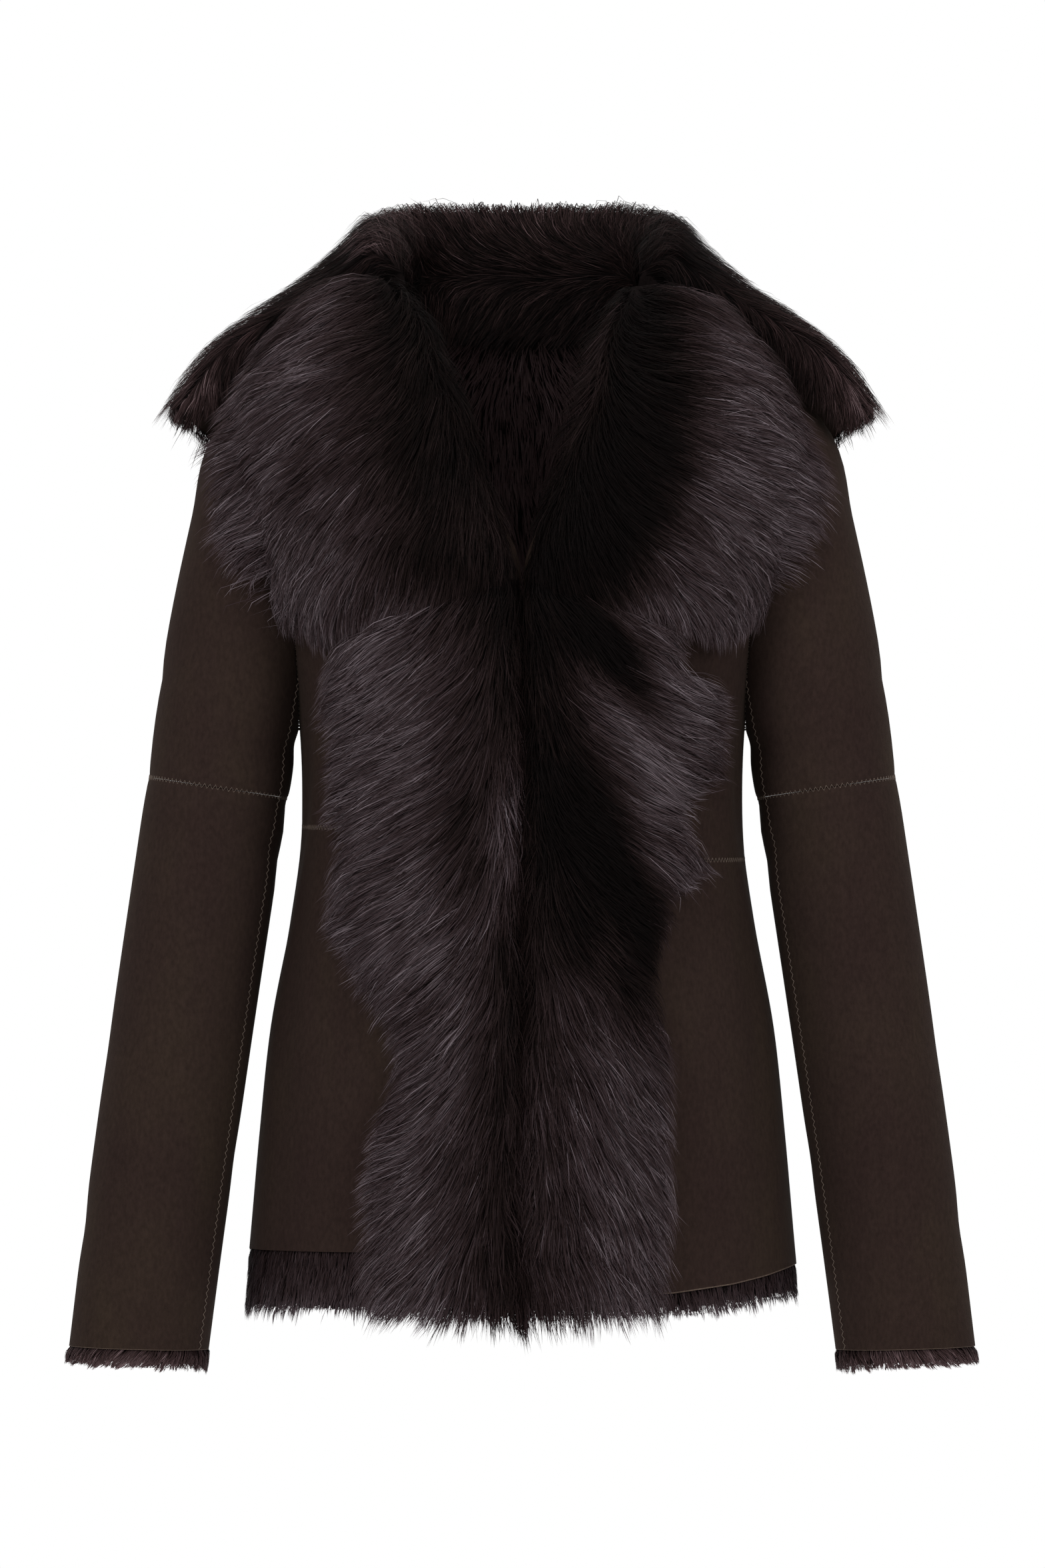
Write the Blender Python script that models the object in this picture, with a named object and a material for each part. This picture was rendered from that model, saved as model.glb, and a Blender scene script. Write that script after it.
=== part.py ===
"""Open-fronted shearling coat, held in the shape of its wearer.

Suede outside and wool inside. The wool is turned out along the whole front edge: a tall
collar that falls like a cape over the shoulders, two broad round lapels, and a cascade of
turned-back edge down each front to the hem. Wool also shows past the hem and the cuffs.

Axes: +X is the wearer's left, -Y is the front, +Z is up. The origin lies on the middle
plane, level with the seam between the collar and the back of the neck.
All sizes below are in millimetres; a mesh gets metres.
"""

import math

import bmesh
import bpy
import numpy as np

MM = 0.001

BODY_WALL = 5.0        # hide and the short wool inside it
SLEEVE_WALL = 4.0
SEAM = 0.3             # between two sewn pieces
ARMHOLE_GAP = 0.5      # between a sleeve and the torso, clear of both pieces' facets
LIE = 0.8              # between a turned-back piece and the suede it lies on
EDGE_WOOL = 9.0        # thickness of the wool that shows past the hem and the cuffs

CENTRE_EDGE = 1.0      # each front stops this far from the middle plane
WAIST_SEAM = {"right": -311.0, "left": -331.5}
FRONT_TOP = -2.0
FRONT_COLUMNS = 10     # faces across a front, and across the back
BACK_COLUMNS = 22
LOWER_ROWS = 10        # rows of points on a lower front, on an upper one, on its shoulder
UPPER_ROWS = 10
SHOULDER_ROWS = 5
UPPER_TOP = -56.0      # heights where those rows end and the shoulder's begin
SHOULDER_START = -47.0
SKIRT_BOTTOM = -580.0  # the back's rows, from here to the skirt's top and on from the waist
SKIRT_TOP = -345.0
SKIRT_ROWS = 9
WAIST = -320.0

# The torso's outer surface: half of its width, its reach to the front and to the back,
# and how square the section is (2 is an ellipse).
BODY_COLUMNS = ("z", "half_width", "front", "back", "squareness")
BODY = (
    (-640.0, 178.0, 120.0, 114.0, 2.30),
    (-571.0, 171.6, 118.0, 112.0, 2.30),
    (-504.0, 165.7, 116.0, 111.0, 2.30),
    (-437.0, 158.6, 112.0, 107.0, 2.30),
    (-370.0, 146.4, 107.0, 100.0, 2.30),
    (-320.0, 139.6, 103.0, 95.0, 2.30),
    (-285.0, 138.8, 102.0, 94.0, 2.30),
    (-241.0, 141.0, 103.0, 97.0, 2.30),
    (-180.0, 150.0, 105.0, 103.0, 2.35),
    (-120.0, 162.0, 104.0, 106.0, 2.40),
    (-75.0, 174.0, 99.0, 104.0, 2.40),
    (-50.0, 174.0, 91.0, 97.0, 2.40),
    (-32.0, 153.0, 83.0, 89.0, 2.30),
    (-16.0, 118.0, 75.0, 79.0, 2.20),
    (0.0, 80.0, 66.0, 68.0, 2.10),
)

# The front's inner edge: straight down the middle, then out along the V of the neck.
NECKLINE_COLUMNS = ("z", "edge_x")
NECKLINE = (
    (-640.0, CENTRE_EDGE),
    (-150.0, CENTRE_EDGE),
    (-139.0, 3.0),
    (-100.0, 22.0),
    (-60.0, 44.0),
    (-30.0, 58.0),
    (-10.0, 67.0),
    (FRONT_TOP, 70.0),
)

# The suede's lower edge on the left front, by distance from the middle.
LEFT_HEM_COLUMNS = ("x", "z")
LEFT_HEM = (
    (0.0, -605.0),
    (94.0, -601.5),
    (131.0, -596.5),
    (152.0, -592.0),
    (175.0, -585.0),
)
RIGHT_HEM_Z = -576.0
BACK_HEM_Z = {"right": -577.0, "left": -585.0}
HEM_WOOL_Z = -615.0
HEM_TUFT = 3.0         # the wool's lower edge rises and falls this much
HEM_TUFTS = 9.0        # this often from the middle of the back to the middle of the front
HEM_WOOL_ROWS = 3

# The sleeve's middle line, from inside the shoulder to the tips of the cuff's wool, half of
# its width across and from front to back, and how squarely it is cut there: 1 is square to
# its middle line and 0 is level.
ARM_COLUMNS = ("x", "y", "z", "half_width", "half_depth", "slant")
ARM = (
    (88.0, 4.0, -60.0, 34.0, 44.0, 1.0),
    (121.0, 4.0, -66.0, 42.0, 50.0, 1.0),
    (150.0, 4.0, -84.0, 49.0, 54.0, 1.0),
    (163.0, 3.0, -126.0, 46.5, 55.5, 1.0),
    (178.5, 0.0, -200.0, 46.2, 53.5, 1.0),
    (191.5, -4.0, -286.0, 45.0, 51.5, 1.0),
    (211.5, -12.0, -420.0, 44.6, 50.0, 1.0),
    (228.5, -18.0, -540.0, 44.3, 48.5, 1.0),
    (241.0, -22.0, -638.0, 44.3, 47.0, 0.2),
    (242.7, -23.0, -650.5, 44.8, 47.5, 0.4),
)
ELBOW = 5              # rows of ARM where the sleeve is sewn and where its suede ends
CUFF = 8
SLEEVE_SIDES = 22
SLEEVE_UPPER_ROWS = 13
SLEEVE_LOWER_ROWS = 9

# The torso's solid that a sleeve's end is cut with: its rows lie close together from the
# top of the side seam up.
CORE_BOTTOM = -300.0
CORE_CLOSE = -90.0
CORE_FINE = -85.0
CORE_ROWS = 15
CORE_FINE_ROWS = 30
CORE_SIDES = 88

# The collar's suede side, one row for each place from the middle of the back round to the
# front end: where it is sewn on, the top of its fold and its outer edge.
COLLAR_COLUMNS = ("neck_x", "neck_y", "neck_z", "fold_x", "fold_y", "fold_z",
                  "edge_x", "edge_y", "edge_z")
COLLAR = (
    (0.0, 67.0, 0.5, 0.0, 86.0, 65.0, 0.0, 126.0, -88.0),
    (45.0, 56.0, 0.5, 60.0, 74.0, 65.0, 104.0, 118.0, -90.0),
    (69.0, 32.0, 0.5, 86.0, 44.0, 60.0, 172.0, 82.0, -82.0),
    (78.0, 2.0, 0.5, 94.0, 6.0, 54.0, 208.0, 30.0, -56.0),
    (77.0, -20.0, 0.5, 94.0, -22.0, 45.0, 217.0, -4.0, -52.0),
    (74.0, -34.0, 0.5, 92.0, -40.0, 34.0, 208.0, -20.0, -52.0),
)
COLLAR_STATIONS = 17   # from the middle of the back to one front end
# Wool on the collar, from the neck seam over the fold to the outer edge.
COLLAR_WOOL = (13.0, 14.0, 15.0, 16.0, 15.0, 15.0, 18.0, 20.0, 10.0)
FOLD_REACH = 7.0       # half of the fold's width
FOLD_DROP = 5.0
FALL_BULGE = 4.0

# Turned-back wool on the fronts. A row runs from the roll at the middle out to the free
# edge, wool is its greatest thickness there. Distances are from the middle plane.
LEAF_COLUMNS = ("roll_x", "roll_z", "edge_x", "edge_z", "wool")
LAPEL_RIGHT = (
    (88.0, 33.0, 114.0, 29.0, 14.0),
    (73.0, 18.0, 142.0, 6.0, 26.0),
    (59.0, -3.0, 168.0, -24.0, 32.0),
    (46.0, -32.0, 189.0, -57.0, 34.0),
    (34.0, -60.0, 197.0, -90.0, 35.0),
    (25.0, -87.0, 194.0, -123.0, 35.0),
    (17.0, -112.0, 179.0, -154.0, 34.0),
    (10.0, -132.0, 157.0, -178.0, 32.0),
    (5.0, -147.0, 128.0, -192.0, 26.0),
)
LAPEL_LEFT = (
    (66.0, 26.0, 112.0, 24.0, 14.0),
    (58.0, 10.0, 136.0, 0.0, 26.0),
    (49.0, -10.0, 158.0, -28.0, 32.0),
    (43.0, -34.0, 176.0, -57.0, 34.0),
    (37.0, -60.0, 187.0, -90.0, 35.0),
    (27.0, -87.0, 184.0, -121.0, 35.0),
    (17.0, -112.0, 171.0, -148.0, 34.0),
    (9.0, -132.0, 153.0, -174.0, 32.0),
    (4.0, -147.0, 130.0, -190.0, 26.0),
)
CASCADE_RIGHT = (
    (2.0, -149.5, 112.0, -192.0, 28.0),
    (1.0, -200.0, 124.0, -218.0, 34.0),
    (1.0, -270.0, 122.0, -285.0, 34.0),
    (1.0, -335.0, 124.0, -345.0, 34.0),
    (1.0, -385.0, 107.0, -393.0, 33.0),
    (1.0, -430.0, 77.0, -438.0, 31.0),
    (1.0, -465.0, 78.0, -472.0, 29.0),
    (1.0, -515.0, 92.0, -518.0, 29.0),
    (1.0, -570.0, 97.0, -572.0, 27.0),
    (1.0, -623.0, 99.0, -618.0, 18.0),
)
CASCADE_LEFT = (
    (2.0, -149.5, 112.0, -192.0, 28.0),
    (1.0, -200.0, 121.0, -218.0, 34.0),
    (1.0, -260.0, 122.0, -270.0, 34.0),
    (1.0, -310.0, 122.0, -320.0, 34.0),
    (1.0, -352.0, 115.0, -360.0, 33.0),
    (1.0, -395.0, 93.0, -402.0, 32.0),
    (1.0, -430.0, 92.0, -436.0, 30.0),
    (1.0, -500.0, 97.0, -504.0, 29.0),
    (1.0, -565.0, 96.0, -567.0, 27.0),
    (1.0, -623.0, 94.0, -616.0, 18.0),
)
LEAF_PROFILE_COLUMNS = ("across", "share")
LEAF_PROFILE = (
    (0.0, 0.30),
    (0.05, 0.72),
    (0.18, 0.98),
    (0.40, 1.00),
    (0.65, 0.80),
    (0.88, 0.52),
    (1.0, 0.20),
)
LEAF_ACROSS = 10       # faces from roll to edge
LAPEL_ROWS = 12
CASCADE_ROWS = 20
DRAPE_BLEND = 7.0      # higher follows the torso and the sleeve more closely
TOP_OF_DRAPE = -60.0   # above this height the lapels stand forward instead of following
LAPEL_TOP_BACK = 0.45  # how fast the lapels lean back above that height
SLEEVE_CLEAR = 1.5     # a lapel lies this much further off the round of the sleeve
STEEPEST = 2.5         # the draped surface's greatest slope when wool stands off it

SUEDE = ("suede", (0.023, 0.016, 0.013), 0.95)
WOOL = ("wool", (0.011, 0.007, 0.007), 0.70)


def named_columns(names, rows):
    """Turn a table into one array for each of its named columns."""
    values = np.array(rows, dtype=float)
    return {name: values[:, index] for index, name in enumerate(names)}


def smooth(xs, ys, x):
    """Value at x on the smooth curve through the points (xs, ys)."""
    slopes = np.gradient(ys, xs)
    x = np.clip(x, xs[0], xs[-1])
    left = np.clip(np.searchsorted(xs, x) - 1, 0, len(xs) - 2)
    width = xs[left + 1] - xs[left]
    t = (x - xs[left]) / width
    rise = (2.0 * t - 3.0) * t * t
    return ((rise + 1.0) * ys[left] - rise * ys[left + 1]
            + (t - 1.0) * t * (t - 1.0) * width * slopes[left]
            + (t - 1.0) * t * t * width * slopes[left + 1])


def straight(xs, ys, x):
    """Value at x on the straight lines through the points (xs, ys)."""
    return float(np.interp(x, xs, ys))


def between(low, high, share):
    """Value at a share of the way from low to high."""
    return low + (high - low) * share


BODY_AT = named_columns(BODY_COLUMNS, BODY)
NECKLINE_AT = named_columns(NECKLINE_COLUMNS, NECKLINE)
LEFT_HEM_AT = named_columns(LEFT_HEM_COLUMNS, LEFT_HEM)
ARM_AT = named_columns(ARM_COLUMNS, ARM)
COLLAR_AT = named_columns(COLLAR_COLUMNS, COLLAR)
PROFILE_AT = named_columns(LEAF_PROFILE_COLUMNS, LEAF_PROFILE)


def body_size(z):
    """Half width, front, back and squareness of the torso at height z."""
    return tuple(float(smooth(BODY_AT["z"], BODY_AT[name], z)) for name in BODY_COLUMNS[1:])


def body_point(turn, z, inset=0.0):
    """Point on the torso. turn is 0 at the middle of the back, 1 at the wearer's front
    middle by way of the left side, and -1 there by way of the right side."""
    half_width, front, back, squareness = body_size(z)
    sine = math.sin(turn * math.pi)
    cosine = math.cos(turn * math.pi)
    power = 2.0 / squareness
    depth = back if cosine > 0.0 else front
    x = math.copysign(abs(sine) ** power, sine) * (half_width - inset)
    y = math.copysign(abs(cosine) ** power, cosine) * (depth - inset)
    return (x, y, z)


def front_edge_turn(z):
    """Turn at which a front has its inner edge at height z."""
    half_width, _, _, squareness = body_size(z)
    edge = straight(NECKLINE_AT["z"], NECKLINE_AT["edge_x"], z)
    sine = (edge / half_width) ** (squareness / 2.0)
    return 1.0 - math.asin(min(sine, 1.0)) / math.pi


def seam_turn(z):
    """Half of a seam's gap as a turn at height z."""
    half_width = body_size(z)[0]
    return 0.5 * SEAM / (math.pi * half_width)


def hem_z(side, turn):
    """Height of the suede's lower edge."""
    if abs(turn) < 0.5:
        share = turn + 0.5
        return between(BACK_HEM_Z["right"], BACK_HEM_Z["left"], share)
    if side == "right":
        return RIGHT_HEM_Z
    x = abs(body_point(turn, BACK_HEM_Z["left"])[0])
    return straight(LEFT_HEM_AT["x"], LEFT_HEM_AT["z"], x)


def hem_wool_z(turn):
    """Height of the tips of the wool below the hem."""
    return HEM_WOOL_Z + HEM_TUFT * math.sin(turn * 2.0 * math.pi * HEM_TUFTS)


def new_object(name, mesh, material, collection):
    """Link a mesh to the scene with its material."""
    if material is not None:
        mesh.materials.append(material)
    item = bpy.data.objects.new(name, mesh)
    collection.objects.link(item)
    return item


def slab(name, outer, inner, material, collection, ring=False):
    """Closed wall between two grids of points. A ring's last column joins its first."""
    rows, columns = outer.shape[:2]
    mesh = bmesh.new()
    skins = []
    for grid in (outer, inner):
        skins.append([[mesh.verts.new(grid[row, column] * MM) for column in range(columns)]
                      for row in range(rows)])
    steps = columns if ring else columns - 1
    for skin in skins:
        for row in range(rows - 1):
            for column in range(steps):
                after = (column + 1) % columns
                mesh.faces.new((skin[row][column], skin[row][after],
                                skin[row + 1][after], skin[row + 1][column]))
    top, under = skins
    for row in (0, rows - 1):
        for column in range(steps):
            after = (column + 1) % columns
            mesh.faces.new((top[row][column], top[row][after],
                            under[row][after], under[row][column]))
    if not ring:
        for column in (0, columns - 1):
            for row in range(rows - 1):
                mesh.faces.new((top[row][column], top[row + 1][column],
                                under[row + 1][column], under[row][column]))
    bmesh.ops.recalc_face_normals(mesh, faces=mesh.faces)
    bmesh.ops.triangulate(mesh, faces=mesh.faces)
    data = bpy.data.meshes.new(name)
    mesh.to_mesh(data)
    mesh.free()
    return new_object(name, data, material, collection)


def core(name, rings, collection):
    """Solid through closed rings with flat ends, used as a cutter."""
    mesh = bmesh.new()
    rows = [[mesh.verts.new(point * MM) for point in ring] for ring in rings]
    count = len(rows[0])
    for low, high in zip(rows, rows[1:]):
        for index in range(count):
            after = (index + 1) % count
            mesh.faces.new((low[index], low[after], high[after], high[index]))
    mesh.faces.new(rows[0])
    mesh.faces.new(rows[-1])
    bmesh.ops.recalc_face_normals(mesh, faces=mesh.faces)
    bmesh.ops.triangulate(mesh, faces=mesh.faces)
    data = bpy.data.meshes.new(name)
    mesh.to_mesh(data)
    mesh.free()
    item = new_object(name, data, None, collection)
    item.hide_render = True
    item.display_type = "WIRE"
    return item


def cut(item, cutter):
    """Take the cutter out of the item."""
    modifier = item.modifiers.new("cut_" + cutter.name, "BOOLEAN")
    modifier.operation = "DIFFERENCE"
    modifier.solver = "EXACT"
    modifier.object = cutter


def panel_grids(levels, first_turn, last_turn, columns, low_edge=None):
    """Outer and inner points of a torso panel. low_edge gives the lower edge's height at
    a turn, which the panel's rows are spread up from."""
    outer = np.zeros((len(levels), columns + 1, 3))
    inner = np.zeros_like(outer)
    for row, level in enumerate(levels):
        share = (level - levels[0]) / (levels[-1] - levels[0])
        for column in range(columns + 1):
            turn = between(first_turn(level), last_turn(level), column / columns)
            z = level
            if low_edge is not None:
                z = between(low_edge(turn), levels[-1], share)
            outer[row, column] = body_point(turn, z)
            inner[row, column] = body_point(turn, z, BODY_WALL)
    return outer, inner


def upper_levels(bottom):
    """Heights of the rows from bottom to the top of the shoulders."""
    return np.concatenate((np.linspace(bottom, UPPER_TOP, UPPER_ROWS),
                           np.linspace(SHOULDER_START, FRONT_TOP, SHOULDER_ROWS)))


def make_fronts(side, suede, collection):
    """The upper and lower front of one side, from the middle edge to the side seam."""
    sign = 1.0 if side == "left" else -1.0
    seam = WAIST_SEAM[side]

    def edge(z):
        return sign * front_edge_turn(z)

    def side_seam(z):
        return sign * (0.5 + seam_turn(z))

    lower = panel_grids(np.linspace(RIGHT_HEM_Z, seam - SEAM, LOWER_ROWS), edge, side_seam,
                        FRONT_COLUMNS, low_edge=lambda turn: hem_z(side, turn))
    upper = panel_grids(upper_levels(seam), edge, side_seam, FRONT_COLUMNS)
    slab("front_" + side + "_lower", *lower, suede, collection)
    return slab("front_" + side + "_upper", *upper, suede, collection)


def make_back(suede, collection):
    """The back, one panel from hem to neck."""
    skirt = np.linspace(SKIRT_BOTTOM, SKIRT_TOP, SKIRT_ROWS)
    levels = np.concatenate((skirt, upper_levels(WAIST)))
    levels[-1] = 0.0

    def right(z):
        return -0.5 + seam_turn(z)

    def left(z):
        return 0.5 - seam_turn(z)

    grids = panel_grids(levels, right, left, BACK_COLUMNS,
                        low_edge=lambda turn: hem_z("back", turn))
    return slab("back", *grids, suede, collection)


def make_hem_wool(name, side, first, last, columns, wool, collection):
    """Wool below the suede's lower edge, between two turns."""
    outer = np.zeros((HEM_WOOL_ROWS, columns + 1, 3))
    inner = np.zeros_like(outer)
    for column in range(columns + 1):
        turn = between(first, last, column / columns)
        top = hem_z(side, turn) - SEAM
        for row in range(HEM_WOOL_ROWS):
            z = between(top, hem_wool_z(turn), row / (HEM_WOOL_ROWS - 1))
            outer[row, column] = body_point(turn, z, 0.6)
            inner[row, column] = body_point(turn, z, EDGE_WOOL)
    return slab(name, outer, inner, wool, collection)


def arm_ring(place, sign, inset=0.0, sides=SLEEVE_SIDES):
    """Ring of points round the sleeve at a place along ARM's rows."""
    rows = np.arange(len(ARM), dtype=float)
    at = {name: float(smooth(rows, ARM_AT[name], place)) for name in ARM_COLUMNS}
    step = 0.05
    ahead = [float(smooth(rows, ARM_AT[name], place + step)) for name in ("x", "z")]
    behind = [float(smooth(rows, ARM_AT[name], place - step)) for name in ("x", "z")]
    along = np.array((ahead[0] - behind[0], ahead[1] - behind[1]))
    along /= np.linalg.norm(along)
    across = np.array((-along[1], along[0]))
    ring = []
    for index in range(sides):
        angle = 2.0 * math.pi * index / sides
        reach = (at["half_width"] - inset) * math.cos(angle)
        x = at["x"] + across[0] * reach
        z = at["z"] + across[1] * reach * at["slant"]
        y = at["y"] + (at["half_depth"] - inset) * math.sin(angle)
        ring.append(np.array((sign * x, y, z)))
    return ring


def make_sleeve(side, suede, wool, collection, cutters):
    """A sleeve in two lengths and the wool at its cuff."""
    sign = 1.0 if side == "left" else -1.0
    fall = -np.gradient(ARM_AT["z"])
    elbow_gap = SEAM / fall[ELBOW]
    cuff_gap = SEAM / fall[CUFF]
    upper_places = np.linspace(0.0, ELBOW, SLEEVE_UPPER_ROWS)
    lower_places = np.linspace(ELBOW + elbow_gap, CUFF, SLEEVE_LOWER_ROWS)
    cuff_places = np.linspace(CUFF + cuff_gap, CUFF + 1, 2)
    lengths = (
        ("sleeve_" + side + "_upper", upper_places, SLEEVE_WALL, suede),
        ("sleeve_" + side + "_lower", lower_places, SLEEVE_WALL, suede),
        ("cuff_wool_" + side, cuff_places, EDGE_WOOL, wool),
    )
    made = {}
    for name, places, wall, material in lengths:
        outer = np.array([arm_ring(place, sign) for place in places])
        inner = np.array([arm_ring(place, sign, wall) for place in places])
        made[name] = slab(name, outer, inner, material, collection, ring=True)
    hollow = [arm_ring(place, sign, SLEEVE_WALL) for place in upper_places]
    arm_core = core("arm_core_" + side, hollow, cutters)
    return made["sleeve_" + side + "_upper"], arm_core


def make_body_core(cutters):
    """The torso as a full solid, an armhole gap larger than its outside."""
    turns = np.linspace(-1.0, 1.0, CORE_SIDES + 1)[:-1]
    levels = np.concatenate((np.linspace(CORE_BOTTOM, CORE_CLOSE, CORE_ROWS),
                             np.linspace(CORE_FINE, 0.0, CORE_FINE_ROWS)))
    rings = [[np.array(body_point(turn, z, -ARMHOLE_GAP)) for turn in turns] for z in levels]
    return core("body_core", rings, cutters)


def collar_section(place, sign):
    """Suede side and wool side of the collar at one place from the back to the front."""
    rows = np.arange(len(COLLAR), dtype=float)
    at = {name: float(smooth(rows, COLLAR_AT[name], place)) for name in COLLAR_COLUMNS}
    neck, fold, edge = (np.array([at[part + "_x"] * sign, at[part + "_y"], at[part + "_z"]])
                        for part in ("neck", "fold", "edge"))
    out = edge - fold
    out[2] = 0.0
    out /= np.linalg.norm(out)
    up = np.array((0.0, 0.0, 1.0))
    inner_fold = fold - out * FOLD_REACH - up * FOLD_DROP
    outer_fold = fold + out * FOLD_REACH - up * FOLD_DROP
    suede = [neck, between(neck, inner_fold, 0.5), inner_fold, fold, outer_fold]
    for share in (0.25, 0.5, 0.75, 1.0):
        point = between(outer_fold, edge, share)
        suede.append(point + up * FALL_BULGE * math.sin(math.pi * share))
    wool = []
    for index, point in enumerate(suede):
        before = suede[max(index - 1, 0)]
        after = suede[min(index + 1, len(suede) - 1)]
        along = after - before
        flat = float(np.dot(along, out))
        rise = float(along[2])
        length = math.hypot(flat, rise)
        away = (up * flat - out * rise) / length
        wool.append(point + away * COLLAR_WOOL[index])
    return suede, wool


def make_collar(wool_material, collection):
    """The collar, from one front end round the back to the other."""
    places = np.linspace(0.0, len(COLLAR) - 1.0, COLLAR_STATIONS)
    suede_side = []
    wool_side = []
    for sign, order in ((-1.0, places[::-1]), (1.0, places[1:])):
        for place in order:
            suede, wool = collar_section(float(place), sign)
            suede_side.append(suede)
            wool_side.append(wool)
    return slab("collar", np.array(wool_side), np.array(suede_side), wool_material, collection)


def torso_depth(x, z):
    """How far the torso reaches forward at x and z, or 0 beside it."""
    half_width, front, _, squareness = body_size(z)
    share = min(abs(x) / half_width, 1.0)
    return front * (1.0 - share ** squareness) ** (1.0 / squareness)


def sleeve_depth(x, z):
    """How far the sleeve reaches forward at x and z, or 0 beside it."""
    heights = ARM_AT["z"][::-1]
    at = {name: straight(heights, ARM_AT[name][::-1], z) for name in ARM_COLUMNS}
    lean = straight(heights, np.gradient(ARM_AT["x"], ARM_AT["z"])[::-1], z)
    half_width = at["half_width"] * math.hypot(1.0, lean)
    share = min(abs(abs(x) - at["x"]) / half_width, 1.0)
    half_depth = at["half_depth"] + SLEEVE_CLEAR
    return max(half_depth * math.sqrt(1.0 - share * share) - at["y"], 0.0)


def drape_depth(x, z):
    """How far forward a piece lies that rests on the torso and the sleeve. Above the top
    of the drape it leans back towards the collar, but never into the torso."""
    level = min(z, TOP_OF_DRAPE)
    leaning = torso_depth(x, level) - LAPEL_TOP_BACK * (z - level)
    torso = max(leaning, torso_depth(x, min(z, 0.0)), 0.0)
    sleeve = max(sleeve_depth(x, min(z, ARM[2][2])) - LAPEL_TOP_BACK * (z - level), 0.0)
    return (torso ** DRAPE_BLEND + sleeve ** DRAPE_BLEND) ** (1.0 / DRAPE_BLEND)


def drape_point(x, z, away):
    """Point over the draped surface at x and z, moved away along the surface's normal."""
    step = 2.0
    slope_x = (drape_depth(x + step, z) - drape_depth(x - step, z)) / (2.0 * step)
    slope_z = (drape_depth(x, z + step) - drape_depth(x, z - step)) / (2.0 * step)
    slope_x = float(np.clip(slope_x, -STEEPEST, STEEPEST))
    normal = np.array((-slope_x, -1.0, -slope_z))
    normal /= np.linalg.norm(normal)
    return np.array((x, -drape_depth(x, z), z)) + normal * away


def make_leaf(name, side, table, rows, wool, collection):
    """Turned-back wool on one front."""
    sign = 1.0 if side == "left" else -1.0
    at = named_columns(LEAF_COLUMNS, table)
    index = np.arange(len(table), dtype=float)
    outer = np.zeros((rows + 1, LEAF_ACROSS + 1, 3))
    inner = np.zeros_like(outer)
    for row in range(rows + 1):
        place = index[-1] * row / rows
        here = {column: float(smooth(index, at[column], place)) for column in LEAF_COLUMNS}
        for column in range(LEAF_ACROSS + 1):
            share = column / LEAF_ACROSS
            x = between(here["roll_x"], here["edge_x"], share)
            z = between(here["roll_z"], here["edge_z"], share)
            profile = float(smooth(PROFILE_AT["across"], PROFILE_AT["share"], share))
            mirror = np.array((sign, 1.0, 1.0))
            inner[row, column] = drape_point(x, z, LIE) * mirror
            outer[row, column] = drape_point(x, z, LIE + here["wool"] * profile) * mirror
    return slab(name, outer, inner, wool, collection)


def make_material(name, colour, roughness):
    """Plain material with the piece's own colour."""
    material = bpy.data.materials.new(name)
    material.use_nodes = True
    shader = material.node_tree.nodes["Principled BSDF"]
    shader.inputs["Base Color"].default_value = (*colour, 1.0)
    shader.inputs["Roughness"].default_value = roughness
    shader.inputs["Metallic"].default_value = 0.0
    return material


def main():
    for item in list(bpy.data.objects):
        bpy.data.objects.remove(item, do_unlink=True)
    coat = bpy.data.collections.new("shearling_coat")
    cutters = bpy.data.collections.new("cutters")
    bpy.context.scene.collection.children.link(coat)
    bpy.context.scene.collection.children.link(cutters)
    suede = make_material(*SUEDE)
    wool = make_material(*WOOL)

    back = make_back(suede, coat)
    body_core = make_body_core(cutters)
    side_seam = 0.5 - seam_turn(HEM_WOOL_Z)
    make_hem_wool("hem_wool_back", "back", -side_seam, side_seam, BACK_COLUMNS, wool, coat)
    for side, sign in (("right", -1.0), ("left", 1.0)):
        front_upper = make_fronts(side, suede, coat)
        sleeve_upper, arm_core = make_sleeve(side, suede, wool, coat, cutters)
        cut(sleeve_upper, body_core)
        cut(front_upper, arm_core)
        cut(back, arm_core)
        edge = sign * front_edge_turn(RIGHT_HEM_Z)
        side_seam = sign * (0.5 + seam_turn(RIGHT_HEM_Z))
        make_hem_wool("hem_wool_" + side, side, edge, side_seam, FRONT_COLUMNS, wool, coat)
    make_collar(wool, coat)
    make_leaf("lapel_right", "right", LAPEL_RIGHT, LAPEL_ROWS, wool, coat)
    make_leaf("lapel_left", "left", LAPEL_LEFT, LAPEL_ROWS, wool, coat)
    make_leaf("cascade_right", "right", CASCADE_RIGHT, CASCADE_ROWS, wool, coat)
    make_leaf("cascade_left", "left", CASCADE_LEFT, CASCADE_ROWS, wool, coat)


main()
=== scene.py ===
"""Looks of the shearling coat: suede shells with sewn seams, and long wool grown on them.

The coat's own sizes below are millimetres, as in its solids. A mesh gets metres.
"""

import math

import bpy
import numpy as np
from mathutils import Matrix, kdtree


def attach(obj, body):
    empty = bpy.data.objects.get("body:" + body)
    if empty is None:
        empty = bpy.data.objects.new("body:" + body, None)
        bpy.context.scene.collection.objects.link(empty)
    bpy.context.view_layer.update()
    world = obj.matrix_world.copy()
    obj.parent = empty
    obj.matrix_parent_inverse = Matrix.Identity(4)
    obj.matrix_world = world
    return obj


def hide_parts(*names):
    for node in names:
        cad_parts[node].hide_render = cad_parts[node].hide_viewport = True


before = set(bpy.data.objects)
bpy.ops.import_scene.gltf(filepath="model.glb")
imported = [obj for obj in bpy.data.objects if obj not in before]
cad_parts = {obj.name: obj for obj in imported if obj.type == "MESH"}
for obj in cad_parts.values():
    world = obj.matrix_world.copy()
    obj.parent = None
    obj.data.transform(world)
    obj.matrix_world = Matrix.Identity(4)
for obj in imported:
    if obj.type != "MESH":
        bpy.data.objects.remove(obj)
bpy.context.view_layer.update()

MM = 0.001
ROOT = "root"

# ---- the coat's own shape

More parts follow.
